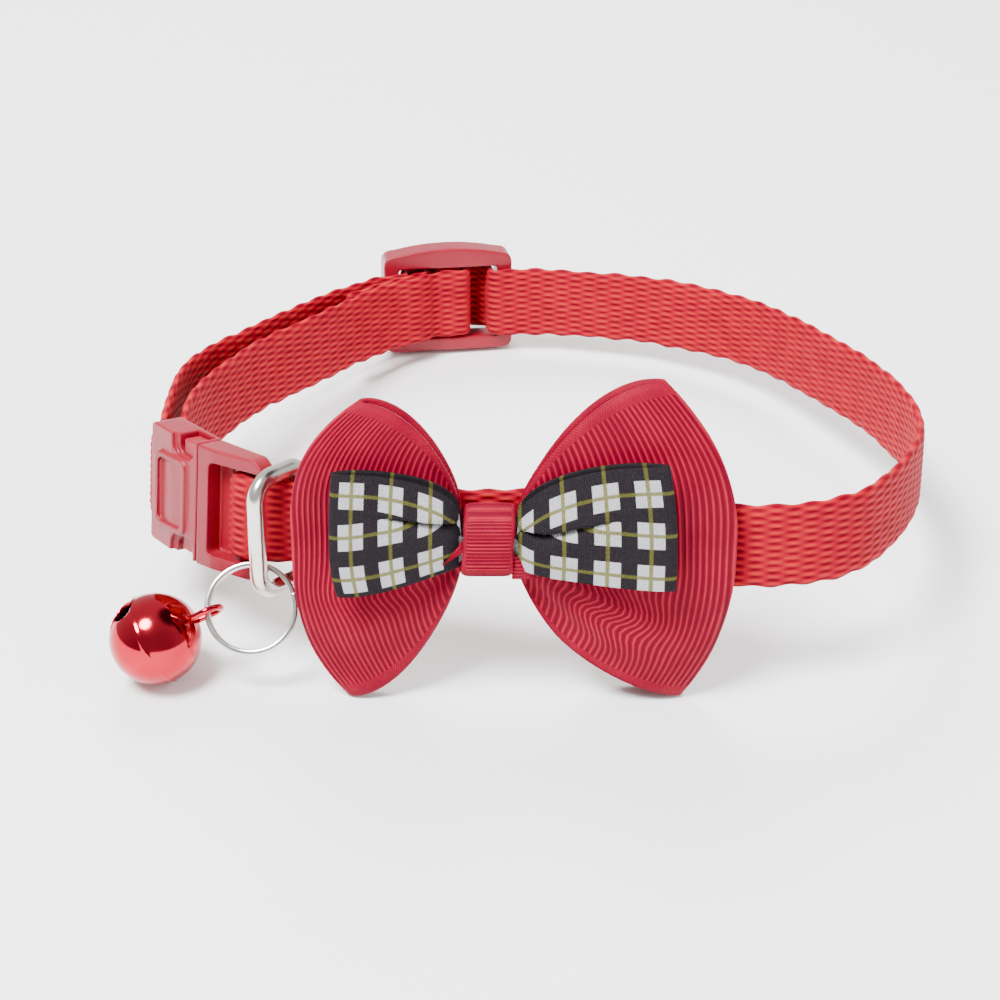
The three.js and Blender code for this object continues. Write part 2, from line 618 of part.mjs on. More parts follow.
const collar = new THREE.Group();
collar.add(
  strapPlane,
  meshOf('split_ring', splitRingGeometry(), NICKEL),
  meshOf('bell', bellGeometry(), RED_METAL),
  meshOf('bell_pellet', pelletGeometry(), NICKEL),
);
collar.updateMatrixWorld(true);
const bounds = new THREE.Box3().setFromObject(collar, true);
const middle = bounds.getCenter(new THREE.Vector3());
collar.position.set(-middle.x, -middle.y, -bounds.min.z);

export default collar;
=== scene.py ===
import math

import bmesh
import bpy
import numpy as np
from mathutils import Matrix, Vector


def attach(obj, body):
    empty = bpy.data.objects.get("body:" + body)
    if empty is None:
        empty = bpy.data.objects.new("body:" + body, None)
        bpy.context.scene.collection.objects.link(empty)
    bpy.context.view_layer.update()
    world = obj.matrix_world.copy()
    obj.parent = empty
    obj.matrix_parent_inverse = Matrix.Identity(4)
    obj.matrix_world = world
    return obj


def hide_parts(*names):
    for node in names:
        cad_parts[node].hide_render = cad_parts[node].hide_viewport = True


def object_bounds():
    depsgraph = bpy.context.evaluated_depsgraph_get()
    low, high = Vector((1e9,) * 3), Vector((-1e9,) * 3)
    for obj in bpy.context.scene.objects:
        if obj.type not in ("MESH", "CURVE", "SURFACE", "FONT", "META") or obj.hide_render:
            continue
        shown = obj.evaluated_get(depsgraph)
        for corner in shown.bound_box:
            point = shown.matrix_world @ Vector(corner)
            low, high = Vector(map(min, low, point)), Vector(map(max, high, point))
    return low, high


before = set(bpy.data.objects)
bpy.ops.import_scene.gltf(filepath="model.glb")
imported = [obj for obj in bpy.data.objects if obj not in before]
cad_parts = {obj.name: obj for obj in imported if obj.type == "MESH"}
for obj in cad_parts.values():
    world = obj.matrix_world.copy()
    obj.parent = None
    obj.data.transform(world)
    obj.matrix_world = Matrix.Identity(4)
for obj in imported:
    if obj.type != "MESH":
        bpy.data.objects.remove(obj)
cad_box = [list(corner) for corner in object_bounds()]
rng = np.random.default_rng(7)

# Every shape is worked out in the model's own millimetres: u to the right, v back from the bow,
# w up the strap's width, in the strap's tilted plane. The places here are the solids' own.
SLIDER = {"origin": (-7.5, 82.4), "turn": 9.4}
FEMALE = {"origin": (-41.0, 15.0), "turn": -48.7}
MALE = {"origin": (-34.2, 7.2), "turn": -35.0}
D_RING = {"origin": (-27.1, -0.9), "turn": 51.5}
# The bars that the strap goes round, each in its own piece's x and y.
MALE_BAR = {"from": 5.2, "to": 7.2, "near": 1.8, "far": 3.2}
FEMALE_BAR = {"from": 0.2, "to": 2, "near": 2.7, "far": 4.1}
SLIDER_BAR = {"half": 1.9, "from": 0.9, "to": 2.5}
SLIDER_WINDOW = 7.2
FEMALE_LENGTH = 9.9
# From the model's own millimetres to the shared frame.
SHIFT = np.array([-3.567, -38.754, 0.282])
# The buckle's lower edge comes forward by an angle, and the strap eases into that lean.
LEAN = {"angle": 5.0, "depth": 2.0, "height": 7.25, "full": 3.0, "none": 7.0}
BOW_TIP = (-4.1, -18.2)
SLIDER_LOW = -7.2
CLEARANCE = 0.3
STRAP_HALF = 0.6
SEAT = CLEARANCE + STRAP_HALF


def place(part, x, y):
    turn = math.radians(part["turn"])
    return (
        part["origin"][0] + math.cos(turn) * x - math.sin(turn) * y,
        part["origin"][1] + math.sin(turn) * x + math.cos(turn) * y,
    )


SLIDER_BACK = place(SLIDER, -4.7, 4.2)[1]
TILT = math.atan2(SLIDER_LOW - BOW_TIP[1], SLIDER_BACK - BOW_TIP[0])
HEIGHT = BOW_TIP[0] * math.sin(TILT) - BOW_TIP[1] * math.cos(TILT)


def standing(points):
    """Points in the strap's plane, in millimetres, to the model's frame in metres."""
    points = np.asarray(points, float)
    u, v, w = points[..., 0], points[..., 1], points[..., 2]
    y = v * math.cos(TILT) + w * math.sin(TILT)
    z = HEIGHT - v * math.sin(TILT) + w * math.cos(TILT)
    return (np.stack([u, y, z], -1) + SHIFT) / 1000


def on_table(points):
    """Points in the table's frame, in millimetres from the bow's middle, to metres."""
    return (np.asarray(points, float) + SHIFT) / 1000


def lean_share(u, v):
    """How far a place on the strap takes part in the buckle's lean: 1 at the buckle, 0 away."""
    a, b = np.array(place(FEMALE, 0, 2)), np.array(place(MALE, 4, 2))
    point = np.stack([u, v], -1)
    along = np.clip((point - a) @ (b - a) / ((b - a) @ (b - a)), 0, 1)
    off = np.linalg.norm(point - (a + along[..., None] * (b - a)), axis=-1)
    t = np.clip((off - LEAN["full"]) / (LEAN["none"] - LEAN["full"]), 0, 1)
    return 1 - t * t * (3 - 2 * t)


def leaned(points, share):
    """Turns points about the buckle's upper edge, so that its lower edge comes forward."""
    points = np.asarray(points, float)
    turn = math.radians(FEMALE["turn"])
    along = np.array([math.cos(turn), math.sin(turn), 0])
    hinge = np.array([*place(FEMALE, 0, LEAN["depth"]), LEAN["height"]])
    angle = -math.radians(LEAN["angle"]) * np.asarray(share, float)[..., None]
    arm = points - hinge
    flat = (arm @ along)[..., None] * along
    return hinge + flat + (arm - flat) * np.cos(angle) + np.cross(along, arm) * np.sin(angle)


# Mesh helpers

def grid_mesh(name, points, uv=None, wrap_rows=False, wrap_columns=False, caps=False):
    """A skin through a grid of points, rows by columns, with a UV for each point."""
    rows, columns = points.shape[:2]
    vertices = points.reshape(-1, 3)
    faces, corners = [], []
    for i in range(rows if wrap_rows else rows - 1):
        for j in range(columns if wrap_columns else columns - 1):
            i2, j2 = i + 1, j + 1
            quad = [(i, j), (i2, j), (i2, j2), (i, j2)]
            faces.append([(a % rows) * columns + b % columns for a, b in quad])
            corners.extend(quad)
    if caps:
        faces.append(list(range(columns)))
        faces.append([(rows - 1) * columns + j for j in reversed(range(columns))])
        corners.extend((0, j) for j in range(columns))
        corners.extend((rows - 1, j) for j in reversed(range(columns)))
    mesh = bpy.data.meshes.new(name)
    mesh.from_pydata(vertices.tolist(), [], faces)
    if uv is not None:
        layer = mesh.uv_layers.new(name="UVMap")
        where = np.array(corners)
        layer.data.foreach_set("uv", uv[where[:, 0] % rows, where[:, 1] % columns].ravel())
    return shown(name, mesh)


def shown(name, mesh):
    """Makes an object of a mesh, smooth and with its faces out."""
    work = bmesh.new()
    work.from_mesh(mesh)
    bmesh.ops.recalc_face_normals(work, faces=work.faces)
    work.to_mesh(mesh)
    work.free()
    mesh.polygons.foreach_set("use_smooth", [True] * len(mesh.polygons))
    piece = bpy.data.objects.new(name, mesh)
    bpy.context.scene.collection.objects.link(piece)
    return piece


def stand_for(piece, node, material):
    piece.data.materials.clear()
    piece.data.materials.append(material)
    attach(piece, "root")
    if node:
        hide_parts(node)
    return piece


def applied(piece):
    """The piece's mesh with its modifiers worked in."""
    depsgraph = bpy.context.evaluated_depsgraph_get()
    mesh = bpy.data.meshes.new_from_object(piece.evaluated_get(depsgraph))
    piece.modifiers.clear()
    piece.data = mesh
    return piece


def moulded(piece, voxel, passes):
    """Fuses a shape into one skin and rounds its edges, as a moulding's are."""
    remesh = piece.modifiers.new("fuse", "REMESH")
    remesh.mode = "VOXEL"
    remesh.voxel_size = voxel
    smooth = piece.modifiers.new("round", "SMOOTH")
    smooth.factor = 0.5
    smooth.iterations = passes
    applied(piece)
    piece.data.polygons.foreach_set("use_smooth", [True] * len(piece.data.polygons))
    return piece


def wire_mesh(name, points, across, radius, sides, closed):
    """A round wire along a line. across is a direction roughly square to the line."""
    points = np.asarray(points, float)
    if closed:
        along = np.roll(points, -1, 0) - np.roll(points, 1, 0)
    else:
        along = np.gradient(points, axis=0)
    along /= np.linalg.norm(along, axis=1)[:, None]
    side = np.cross(across, along)
    side /= np.linalg.norm(side, axis=1)[:, None]
    up = np.cross(along, side)
    radius = np.broadcast_to(np.asarray(radius, float), (len(points),))
    angle = np.linspace(0, 2 * math.pi, sides, endpoint=False)
    ring = (
        np.cos(angle)[None, :, None] * side[:, None] + np.sin(angle)[None, :, None] * up[:, None]
    )
    skin = points[:, None] + ring * radius[:, None, None]
    return grid_mesh(name, skin, wrap_rows=closed, wrap_columns=True, caps=not closed)


def smooth_noise(count, knots, amount):
    """A smooth random row of numbers."""
    values = rng.normal(size=knots + 3) * amount
    x = np.linspace(0, knots, count)
    i = np.floor(x).astype(int)
    t = x - i
    t = t * t * (3 - 2 * t)
    return values[i] * (1 - t) + values[i + 1] * t


# Materials

class Look:
    """A small helper that wires up one material's nodes."""

    def __init__(self, name, color, roughness, metallic=0.0, specular=0.5):
        self.material = bpy.data.materials.new(name)
        self.material.use_nodes = True
        self.tree = self.material.node_tree
        self.shader = self.tree.nodes["Principled BSDF"]
        self.shader.inputs["Base Color"].default_value = (*color, 1)
        self.shader.inputs["Roughness"].default_value = roughness
        self.shader.inputs["Metallic"].default_value = metallic
        self.shader.inputs["Specular IOR Level"].default_value = specular

    def node(self, kind, **values):
        node = self.tree.nodes.new(kind)
        for key, value in values.items():
            setattr(node, key, value)
        return node

    def link(self, source, target):
        self.tree.links.new(source, target)

    def feed(self, socket, value):
        if isinstance(value, (int, float)):
            socket.default_value = value
        else:
            self.link(value, socket)

    def math(self, operation, a, b=None, clamp=False):
        node = self.node("ShaderNodeMath", operation=operation, use_clamp=clamp)
        self.feed(node.inputs[0], a)
        if b is not None:
            self.feed(node.inputs[1], b)
        return node.outputs[0]

    def uv(self):
        coordinate = self.node("ShaderNodeUVMap", uv_map="UVMap")
        split = self.node("ShaderNodeSeparateXYZ")
        self.link(coordinate.outputs[0], split.inputs[0])
        return split.outputs[0], split.outputs[1]

    def place(self, x, y, z=0.0):
        join = self.node("ShaderNodeCombineXYZ")
        for socket, value in zip(join.inputs, (x, y, z)):
            self.feed(socket, value)
        return join.outputs[0]

    def object_place(self):
        return self.node("ShaderNodeTexCoord").outputs["Object"]

    def noise(self, vector, scale, detail=2.0, roughness=0.5):
        node = self.node("ShaderNodeTexNoise")
        self.link(vector, node.inputs["Vector"])
        node.inputs["Scale"].default_value = scale
        node.inputs["Detail"].default_value = detail
        node.inputs["Roughness"].default_value = roughness
        return node.outputs["Fac"]

    def ramp(self, value, stops):
        node = self.node("ShaderNodeValToRGB")
        self.feed(node.inputs[0], value)
        elements = node.color_ramp.elements
        while len(elements) < len(stops):
            elements.new(0.5)
        for element, (position, color) in zip(elements, stops):
            element.position = position
            element.color = (*color, 1)
        return node.outputs[0]

    def blend(self, factor, a, b):
        node = self.node("ShaderNodeMix", data_type="RGBA")
        self.feed(node.inputs[0], factor)
        for socket, value in ((node.inputs[6], a), (node.inputs[7], b)):
            if isinstance(value, tuple):
                socket.default_value = (*value, 1)
            else:
                self.link(value, socket)
        return node.outputs[2]

    def range(self, value, low, high, to_low, to_high):
        node = self.node("ShaderNodeMapRange")
        self.feed(node.inputs[0], value)
        for k, number in enumerate((low, high, to_low, to_high)):
            node.inputs[k + 1].default_value = number
        return node.outputs[0]

    def bump(self, height, distance, strength=1.0, below=None):
        node = self.node("ShaderNodeBump")
        node.inputs["Strength"].default_value = strength
        node.inputs["Distance"].default_value = distance / 1000
        self.link(height, node.inputs["Height"])
        if below is not None:
            self.link(below, node.inputs["Normal"])
        self.link(node.outputs[0], self.shader.inputs["Normal"])
        return node.outputs[0]

    def color(self, value):
        self.link(value, self.shader.inputs["Base Color"])

    def rough(self, value):
        self.link(value, self.shader.inputs["Roughness"])

    def sheen(self, weight, roughness, tint):
        self.shader.inputs["Sheen Weight"].default_value = weight
        self.shader.inputs["Sheen Roughness"].default_value = roughness
        self.shader.inputs["Sheen Tint"].default_value = (*tint, 1)


# Pitches in millimetres, and the white square's share of the check's period.
WEAVE_COLUMN = 2.0
WEAVE_ROW = 0.88
RIB_PITCH = 0.8
CHECK_PERIOD = 5.0
CHECK_WHITE = 0.62


def webbing_look():
    look = Look("red_webbing", (0.42, 0.004, 0.012), 0.6, specular=0.05)
    s, w = look.uv()
    column = look.math("COSINE", look.math("MULTIPLY", s, math.pi / WEAVE_COLUMN))
    row = look.math("COSINE", look.math("MULTIPLY", w, 2 * math.pi / WEAVE_ROW))
    lens = look.range(look.math("MULTIPLY", column, row), -1, 1, 0, 1)
    stretched = look.place(look.math("MULTIPLY", s, 1.1), look.math("MULTIPLY", w, 9.0))
    strands = look.noise(stretched, 1.0, 3)
    patches = look.noise(look.place(s, w), 0.35, 3)
    relief_shade_and_tone = look.math("ADD", lens, look.range(strands, 0.2, 0.8, -0.16, 0.16))
    relief_shade_and_tone = look.math("ADD", relief_shade_and_tone, look.range(patches, 0.3, 0.7, -0.1, 0.1), clamp=True)
    # The colour follows the weave's height: painted shade in the gaps and a painted highlight on the
    # floats, with random tone from the strands and patches.
    look.color(look.ramp(relief_shade_and_tone, [
        (0.0, (0.12, 0.0, 0.007)), (0.3, (0.23, 0.0, 0.012)),
        (0.62, (0.34, 0.003, 0.015)), (1.0, (0.44, 0.022, 0.02)),
    ]))
    look.sheen(0.03, 0.4, (1.0, 0.4, 0.3))
    first = look.bump(look.math("POWER", lens, 0.7), 0.22, 0.6)
    look.bump(strands, 0.06, 0.7, first)
    return look.material


def grosgrain_look(name, pitch, along_u, selvage):
    """Ribbed ribbon. Ribs run square to the way the pitch counts, and stop at the selvages."""
    look = Look(name, (0.3, 0.002, 0.014), 0.5, specular=0.06)
    u, t = look.uv()
    counted, other = (u, t) if along_u else (t, u)
    wave = look.math("COSINE", look.math("MULTIPLY", counted, 2 * math.pi / pitch))
    ridge = look.math("POWER", look.range(wave, -1, 1, 0, 1), 1.6)
    edge = look.range(look.math("ABSOLUTE", other), selvage - 0.12, selvage + 0.12, 0, 1)
    fine_u = look.math("COSINE", look.math("MULTIPLY", counted, 2 * math.pi / 0.42))
    fine_t = look.math("COSINE", look.math("MULTIPLY", other, 2 * math.pi / 0.55))
    stitch = look.range(look.math("MULTIPLY", fine_u, fine_t), -1, 1, 0.25, 0.85)
    height = look.math("ADD", look.math("MULTIPLY", ridge, look.math("SUBTRACT", 1.0, edge)),
                       look.math("MULTIPLY", stitch, edge))
    stretched = look.place(look.math("MULTIPLY", counted, 1.6), look.math("MULTIPLY", other, 11.0))
    threads = look.noise(stretched, 1.0, 3)
    patches = look.noise(look.place(u, t), 0.22, 3)
    relief_shade_and_tone = look.math("ADD", height, look.range(threads, 0.2, 0.8, -0.16, 0.16))
    relief_shade_and_tone = look.math("ADD", relief_shade_and_tone, look.range(patches, 0.3, 0.7, -0.12, 0.12), clamp=True)
    # The colour follows the ribs' height: painted shade in the rib valleys and a painted highlight on
    # the rib tops, with random tone from the threads and patches.
    look.color(look.ramp(relief_shade_and_tone, [
        (0.0, (0.12, 0.0, 0.011)), (0.4, (0.18, 0.0, 0.016)),
        (0.75, (0.25, 0.002, 0.019)), (1.0, (0.34, 0.014, 0.025)),
    ]))
    look.sheen(0.04, 0.35, (1.0, 0.35, 0.35))
    first = look.bump(height, 0.1, 0.5)
    look.bump(threads, 0.03, 0.6, first)
    return look.material


def check_look():
    look = Look("checked_cloth", (0.02, 0.018, 0.02), 0.8, specular=0.04)
    u, t = look.uv()

    def square(value):
        turned = look.math("FRACT", look.math("DIVIDE", value, CHECK_PERIOD))
        off = look.math("ABSOLUTE", look.math("SUBTRACT", turned, 0.5))
        return look.range(off, CHECK_WHITE / 2 + 0.008, CHECK_WHITE / 2 - 0.008, 0, 1), off

    inside_u, off_u = square(u)
    inside_t, off_t = square(t)
    white = look.math("MULTIPLY", inside_u, inside_t)
    line_u = look.range(off_u, 0.056, 0.038, 0, 1)
    line_t = look.range(off_t, 0.05, 0.034, 0, 1)
    line = look.math("MAXIMUM", line_u, line_t)
    warp = look.math("COSINE", look.math("MULTIPLY", u, 2 * math.pi / 0.26))
    weft = look.math("COSINE", look.math("MULTIPLY", t, 2 * math.pi / 0.3))
    threads = look.math("MULTIPLY", warp, weft)
    fuzz = look.noise(look.place(u, t), 3.0, 4)
    crossed = look.math("MULTIPLY", threads, 0.6)
    lengthwise = look.math("MULTIPLY", warp, 0.4)
    shade = look.range(look.math("ADD", crossed, lengthwise), -1, 1, 0, 1)
    mixed = look.math("ADD", look.math("MULTIPLY", shade, 0.6), look.math("MULTIPLY", fuzz, 0.5))
    dark = look.ramp(mixed, [(0.15, (0.002, 0.0015, 0.002)), (0.95, (0.03, 0.025, 0.03))])
    pale = look.ramp(shade, [(0.0, (0.24, 0.235, 0.26)), (0.8, (0.52, 0.52, 0.55))])
    olive = look.ramp(fuzz, [(0.2, (0.09, 0.088, 0.012)), (0.8, (0.17, 0.165, 0.035))])
    cloth = look.blend(white, dark, pale)
    cover = look.math("MULTIPLY", line, look.range(white, 0, 1, 0.55, 0.9))
    look.color(look.blend(cover, cloth, olive))
    look.bump(threads, 0.06, 0.8)
    return look.material


def plastic_look():
    look = Look("red_plastic", (0.3, 0.004, 0.015), 0.36, specular=0.36)
    where = look.object_place()
    cloud = look.noise(where, 90, 3)
    grain = look.noise(where, 2600, 2)
    # The deep attribute carries painted shade: the hollows are blended towards a deeper, more
    # saturated red.
    deep = look.node("ShaderNodeAttribute", attribute_name="deep").outputs["Fac"]
    face = look.ramp(cloud, [(0.25, (0.2, 0.001, 0.012)), (0.75, (0.26, 0.003, 0.017))])
    look.color(look.blend(deep, face, (0.26, 0.0, 0.012)))
    look.rough(look.range(cloud, 0.3, 0.7, 0.3, 0.44))
    look.shader.inputs["Subsurface Weight"].default_value = 0.15
    look.shader.inputs["Subsurface Radius"].default_value = (0.004, 0.0008, 0.0006)
    look.shader.inputs["Coat Weight"].default_value = 0.1
    look.shader.inputs["Coat Roughness"].default_value = 0.28
    look.bump(grain, 0.02, 0.25)
    return look.material


def nickel_look():
    look = Look("nickel_wire", (0.74, 0.73, 0.68), 0.2, metallic=1.0)
    where = look.object_place()
    cloud = look.noise(where, 260, 4)
    look.color(look.ramp(cloud, [(0.25, (0.6, 0.58, 0.53)), (0.7, (0.8, 0.79, 0.75))]))
    look.rough(look.range(cloud, 0.3, 0.7, 0.14, 0.3))
    look.bump(look.noise(where, 1500, 2), 0.02, 0.2)
    return look.material


def bell_look():
    look = Look("red_metal", (0.62, 0.03, 0.06), 0.09, metallic=1.0)
    where = look.object_place()
    cloud = look.noise(where, 160, 4)
    look.color(look.ramp(cloud, [(0.25, (0.42, 0.008, 0.025)), (0.75, (0.56, 0.025, 0.045))]))
    look.rough(look.range(cloud, 0.35, 0.7, 0.07, 0.16))
    look.bump(look.noise(where, 900, 2), 0.02, 0.12)
    return look.material


WEBBING = webbing_look()
RIBBON = grosgrain_look("red_ribbon", RIB_PITCH, True, 17.3)
WRAP_RIBBON = grosgrain_look("red_wrap_ribbon", 0.42, False, 2.45)
CHECKED = check_look()
PLASTIC = plastic_look()
NICKEL = nickel_look()
RED_METAL = bell_look()

# The strap


def round_edge(part, x, y, start, end):
    angles = [math.radians(start + (end - start) * share) for share in (0, 0.5, 1)]
    return [place(part, x + SEAT * math.cos(a), y + SEAT * math.sin(a)) for a in angles]


def strap_route():
    over = SLIDER_BAR["to"] + SEAT + 2 * STRAP_HALF + CLEARANCE
    bar, slot, end = SLIDER_BAR, SLIDER_WINDOW, FEMALE_BAR
    male = MALE_BAR
    return [
        (-6.5, 2.1), (-12, 2.75), (-17, 4.2), (-20.3, 5.9), (-24, 7.5),
        place(MALE, 7.5, male["far"] + SEAT + 0.1),
        *round_edge(MALE, male["from"], male["far"], 90, 180),
        *round_edge(MALE, male["from"], male["near"], 180, 270),
        place(MALE, 7.4, male["near"] - SEAT),
        (-25, 2.9), (-20.5, 1.9), (-13, 0.9), (-6, 0.4), (0, 0.3), (8, 0.1), (14, -0.5), (19, -1.9),
        (23, -3.1), (27, -4.1), (30.9, -4), (35.4, -2.9), (40.1, 0), (44.4, 5.8), (47.8, 12.5),
        (50, 19), (50.8, 26), (50.3, 33), (49, 39.5), (47.2, 45.5), (44.4, 52), (40.4, 60.5),
        (36, 67.8), (30.8, 73.2), (25.5, 77), (20, 79.8), (14.4, 81.4),
        place(SLIDER, 13.4, -SEAT - 0.6), place(SLIDER, 10, -SEAT - 0.1),
        *round_edge(SLIDER, slot, 0, -90, -180),
        place(SLIDER, 6.2, 2.4), place(SLIDER, 4.6, over - 0.35), place(SLIDER, 1.5, over),
        place(SLIDER, -1.5, over), place(SLIDER, -4.6, over - 0.35), place(SLIDER, -6.2, 2.4),
        *round_edge(SLIDER, -slot, 0, 0, -90),
        place(SLIDER, -10.2, -SEAT - 0.2),
        (-19.9, 76.9), (-24.6, 71.2), (-29.8, 63.3), (-34.4, 55.6), (-38.6, 48.4),
        (-40.5, 41.8), (-40.9, 35), (-40.8, 28), (-40.5, 22),
        place(FEMALE, -0.8, end["near"] - SEAT - 0.2),
        *round_edge(FEMALE, end["to"], end["near"], -90, 0),
        *round_edge(FEMALE, end["to"], end["far"], 0, 90),
        place(FEMALE, -0.8, end["far"] + SEAT),
        (-38, 22.5), (-38.4, 28.5), (-37.5, 35.5), (-35.4, 42.8), (-31.9, 51.4), (-27.6, 58.3),
        (-24.3, 63.5), (-20.1, 70.4),
        place(SLIDER, -8.4, -4.35), place(SLIDER, -4.7, -2.5),
        place(SLIDER, -bar["half"], bar["from"] - SEAT - 0.4),
        *round_edge(SLIDER, bar["half"], bar["from"], -90, 0),
        *round_edge(SLIDER, bar["half"], bar["to"], 0, 90),
        *round_edge(SLIDER, -bar["half"], bar["to"], 90, 180),
        place(SLIDER, -3.1, 0.9), place(SLIDER, -5.1, -0.85), place(SLIDER, -8, -2.75),
        (-18.7, 74.4), (-21.4, 71.2),
    ]


def centripetal(route, steps):
    """A smooth line through the route's points, the same curve as the solid's."""
    p = np.array(route, float)
    p = np.vstack([2 * p[0] - p[1], p, 2 * p[-1] - p[-2]])
    line = []
    for a, b, c, d in zip(p[:-3], p[1:-2], p[2:-1], p[3:]):
        d0, d1, d2 = (math.sqrt(np.linalg.norm(y - x)) for x, y in ((a, b), (b, c), (c, d)))
        m0 = ((b - a) / d0 - (c - a) / (d0 + d1) + (c - b) / d1) * d1
        m1 = ((c - b) / d1 - (d - b) / (d1 + d2) + (d - c) / d2) * d1
        for t in np.arange(steps) / steps:
            line.append(
                b + m0 * t + (3 * (c - b) - 2 * m0 - m1) * t**2 + (2 * (b - c) + m0 + m1) * t**3
            )
    line.append(p[-2])
    return np.array(line)


def spaced(line, step):
    lengths = np.concatenate([[0], np.cumsum(np.linalg.norm(np.diff(line, axis=0), axis=1))])
    count = int(round(lengths[-1] / step))
    at = np.linspace(0, lengths[-1], count + 1)
    return np.stack([np.interp(at, lengths, line[:, k]) for k in range(line.shape[1])], -1), at


def weave(s, w):
    """The webbing's height pattern, from 0 to 1, in staggered columns."""
    lens = 0.5 + 0.5 * np.cos(math.pi * s / WEAVE_COLUMN) * np.cos(2 * math.pi * w / WEAVE_ROW)
    return lens ** 0.6


def make_strap():
    line, at = spaced(centripetal(strap_route(), 16), 0.5)
    tangent = np.gradient(line, axis=0)
    tangent /= np.linalg.norm(tangent, axis=1)[:, None]
    side = np.stack([-tangent[:, 1], tangent[:, 0]], -1)
    across = np.linspace(-1, 1, 45)
    scallop = 0.13 * np.cos(math.pi * at / WEAVE_COLUMN) + smooth_noise(len(at), 150, 0.06)
    half = (5 + scallop)[:, None]
    w = half * across[None]
    thick = (1 - np.abs(across) ** 9) ** 0.5
    thick[[0, -1]] = 0
    relief = 0.18 * weave(at[:, None], w) - 0.08
    rows = []
    for face in (1, -1):
        out = (0.54 + relief) * thick * face
        plan = line[:, None] + side[:, None] * out[..., None]
        skin = np.concatenate([plan, w[..., None]], -1)
        rows.append(skin if face > 0 else skin[:, ::-1][:, 1:-1])
    skin = np.concatenate(rows, 1)
    s = np.broadcast_to(at[:, None], (len(at), skin.shape[1]))
    uv = np.stack([s, skin[..., 2]], -1)
    share = np.broadcast_to(lean_share(line[:, 0], line[:, 1])[:, None], s.shape)
    skin = leaned(skin, share)
    strap = grid_mesh("webbing_strap", standing(skin), uv, wrap_columns=True, caps=True)
    return stand_for(strap, "strap", WEBBING)


make_strap()

# The moulded pieces

def cut(piece, tool, operation="DIFFERENCE"):
    step = piece.modifiers.new("cut", "BOOLEAN")
    step.operation = operation
    step.solver = "EXACT"
    step.object = tool
    applied(piece)
    bpy.data.objects.remove(tool)
    return piece


def slab(part, outline, low, high, through="w"):
    """A prism in a part's own x, y and w. Its outline is a plan, or a front view cut through y."""
    points = []
    for level in (low, high):
        for a, b in outline:
            x, y, w = (a, b, level) if through == "w" else (a, level, b)
            points.append((*place(part, x, y), w))
    count = len(outline)
    faces = [list(range(count)), list(range(count, 2 * count))]
    for i in range(count):
        j = (i + 1) % count
        faces.append([i, j, count + j, count + i])
    mesh = bpy.data.meshes.new("slab")
    mesh.from_pydata(points, [], faces)
    return shown("slab", mesh)


def box(part, x, y, w):
    return slab(part, [(x[0], y[0]), (x[1], y[0]), (x[1], y[1]), (x[0], y[1])], w[0], w[1])


def rounded(x, w, radius):
    """A rectangle's outline with round corners, each with its own radius from lower left."""
    corners = [(x[0], w[0], 180), (x[1], w[0], 270), (x[1], w[1], 0), (x[0], w[1], 90)]
    points = []
    for (cx, cw, start), r in zip(corners, radius):
        middle = (cx + (r if cx == x[0] else -r), cw + (r if cw == w[0] else -r))
        for a in np.radians(np.linspace(start, start + 90, 9)):
            points.append((middle[0] + r * math.cos(a), middle[1] + r * math.sin(a)))
    return points


def settle(piece, name, part, back):
    """Rounds a buckle half, marks its hollows for painted shade and sets it in its leaned place."""
    moulded(piece, MOULD_VOXEL, 3)
    piece.name = name
    points = vertex_points(piece)
    turn = math.radians(part["turn"])
    depth = (points[:, :2] - part["origin"]) @ np.array([-math.sin(turn), math.cos(turn)])
    within = np.clip((back - depth) / 0.3, 0, 1)
    within = within * np.clip((6.95 - np.abs(points[:, 2])) / 0.2, 0, 1)
    # The deep attribute is painted shade: it rises with depth into the hollows, where the material
    # paints a deeper, more saturated red.
    hollow = piece.data.attributes.new("deep", "FLOAT", "POINT")
    hollow.data.foreach_set("value", np.clip((depth - 0.5) / 0.8, 0, 1) * within)
    piece.data.vertices.foreach_set("co", standing(leaned(points, np.ones(len(points)))).ravel())
    return piece


def vertex_points(piece):
    points = np.empty(len(piece.data.vertices) * 3)
    piece.data.vertices.foreach_get("co", points)
    return points.reshape(-1, 3)


# The latches reach a little further out of the socket's notches than the solid's do.
LATCH = {"from": 6.3, "to": 8.9, "neck": 4.7, "reach": 6.8, "near": 1.35, "far": 2.85}
HALF = 7.25
# The buckle is shaped in millimetres and the slider in metres.
MOULD_VOXEL = 0.13
SLIDER_VOXEL = 0.00016


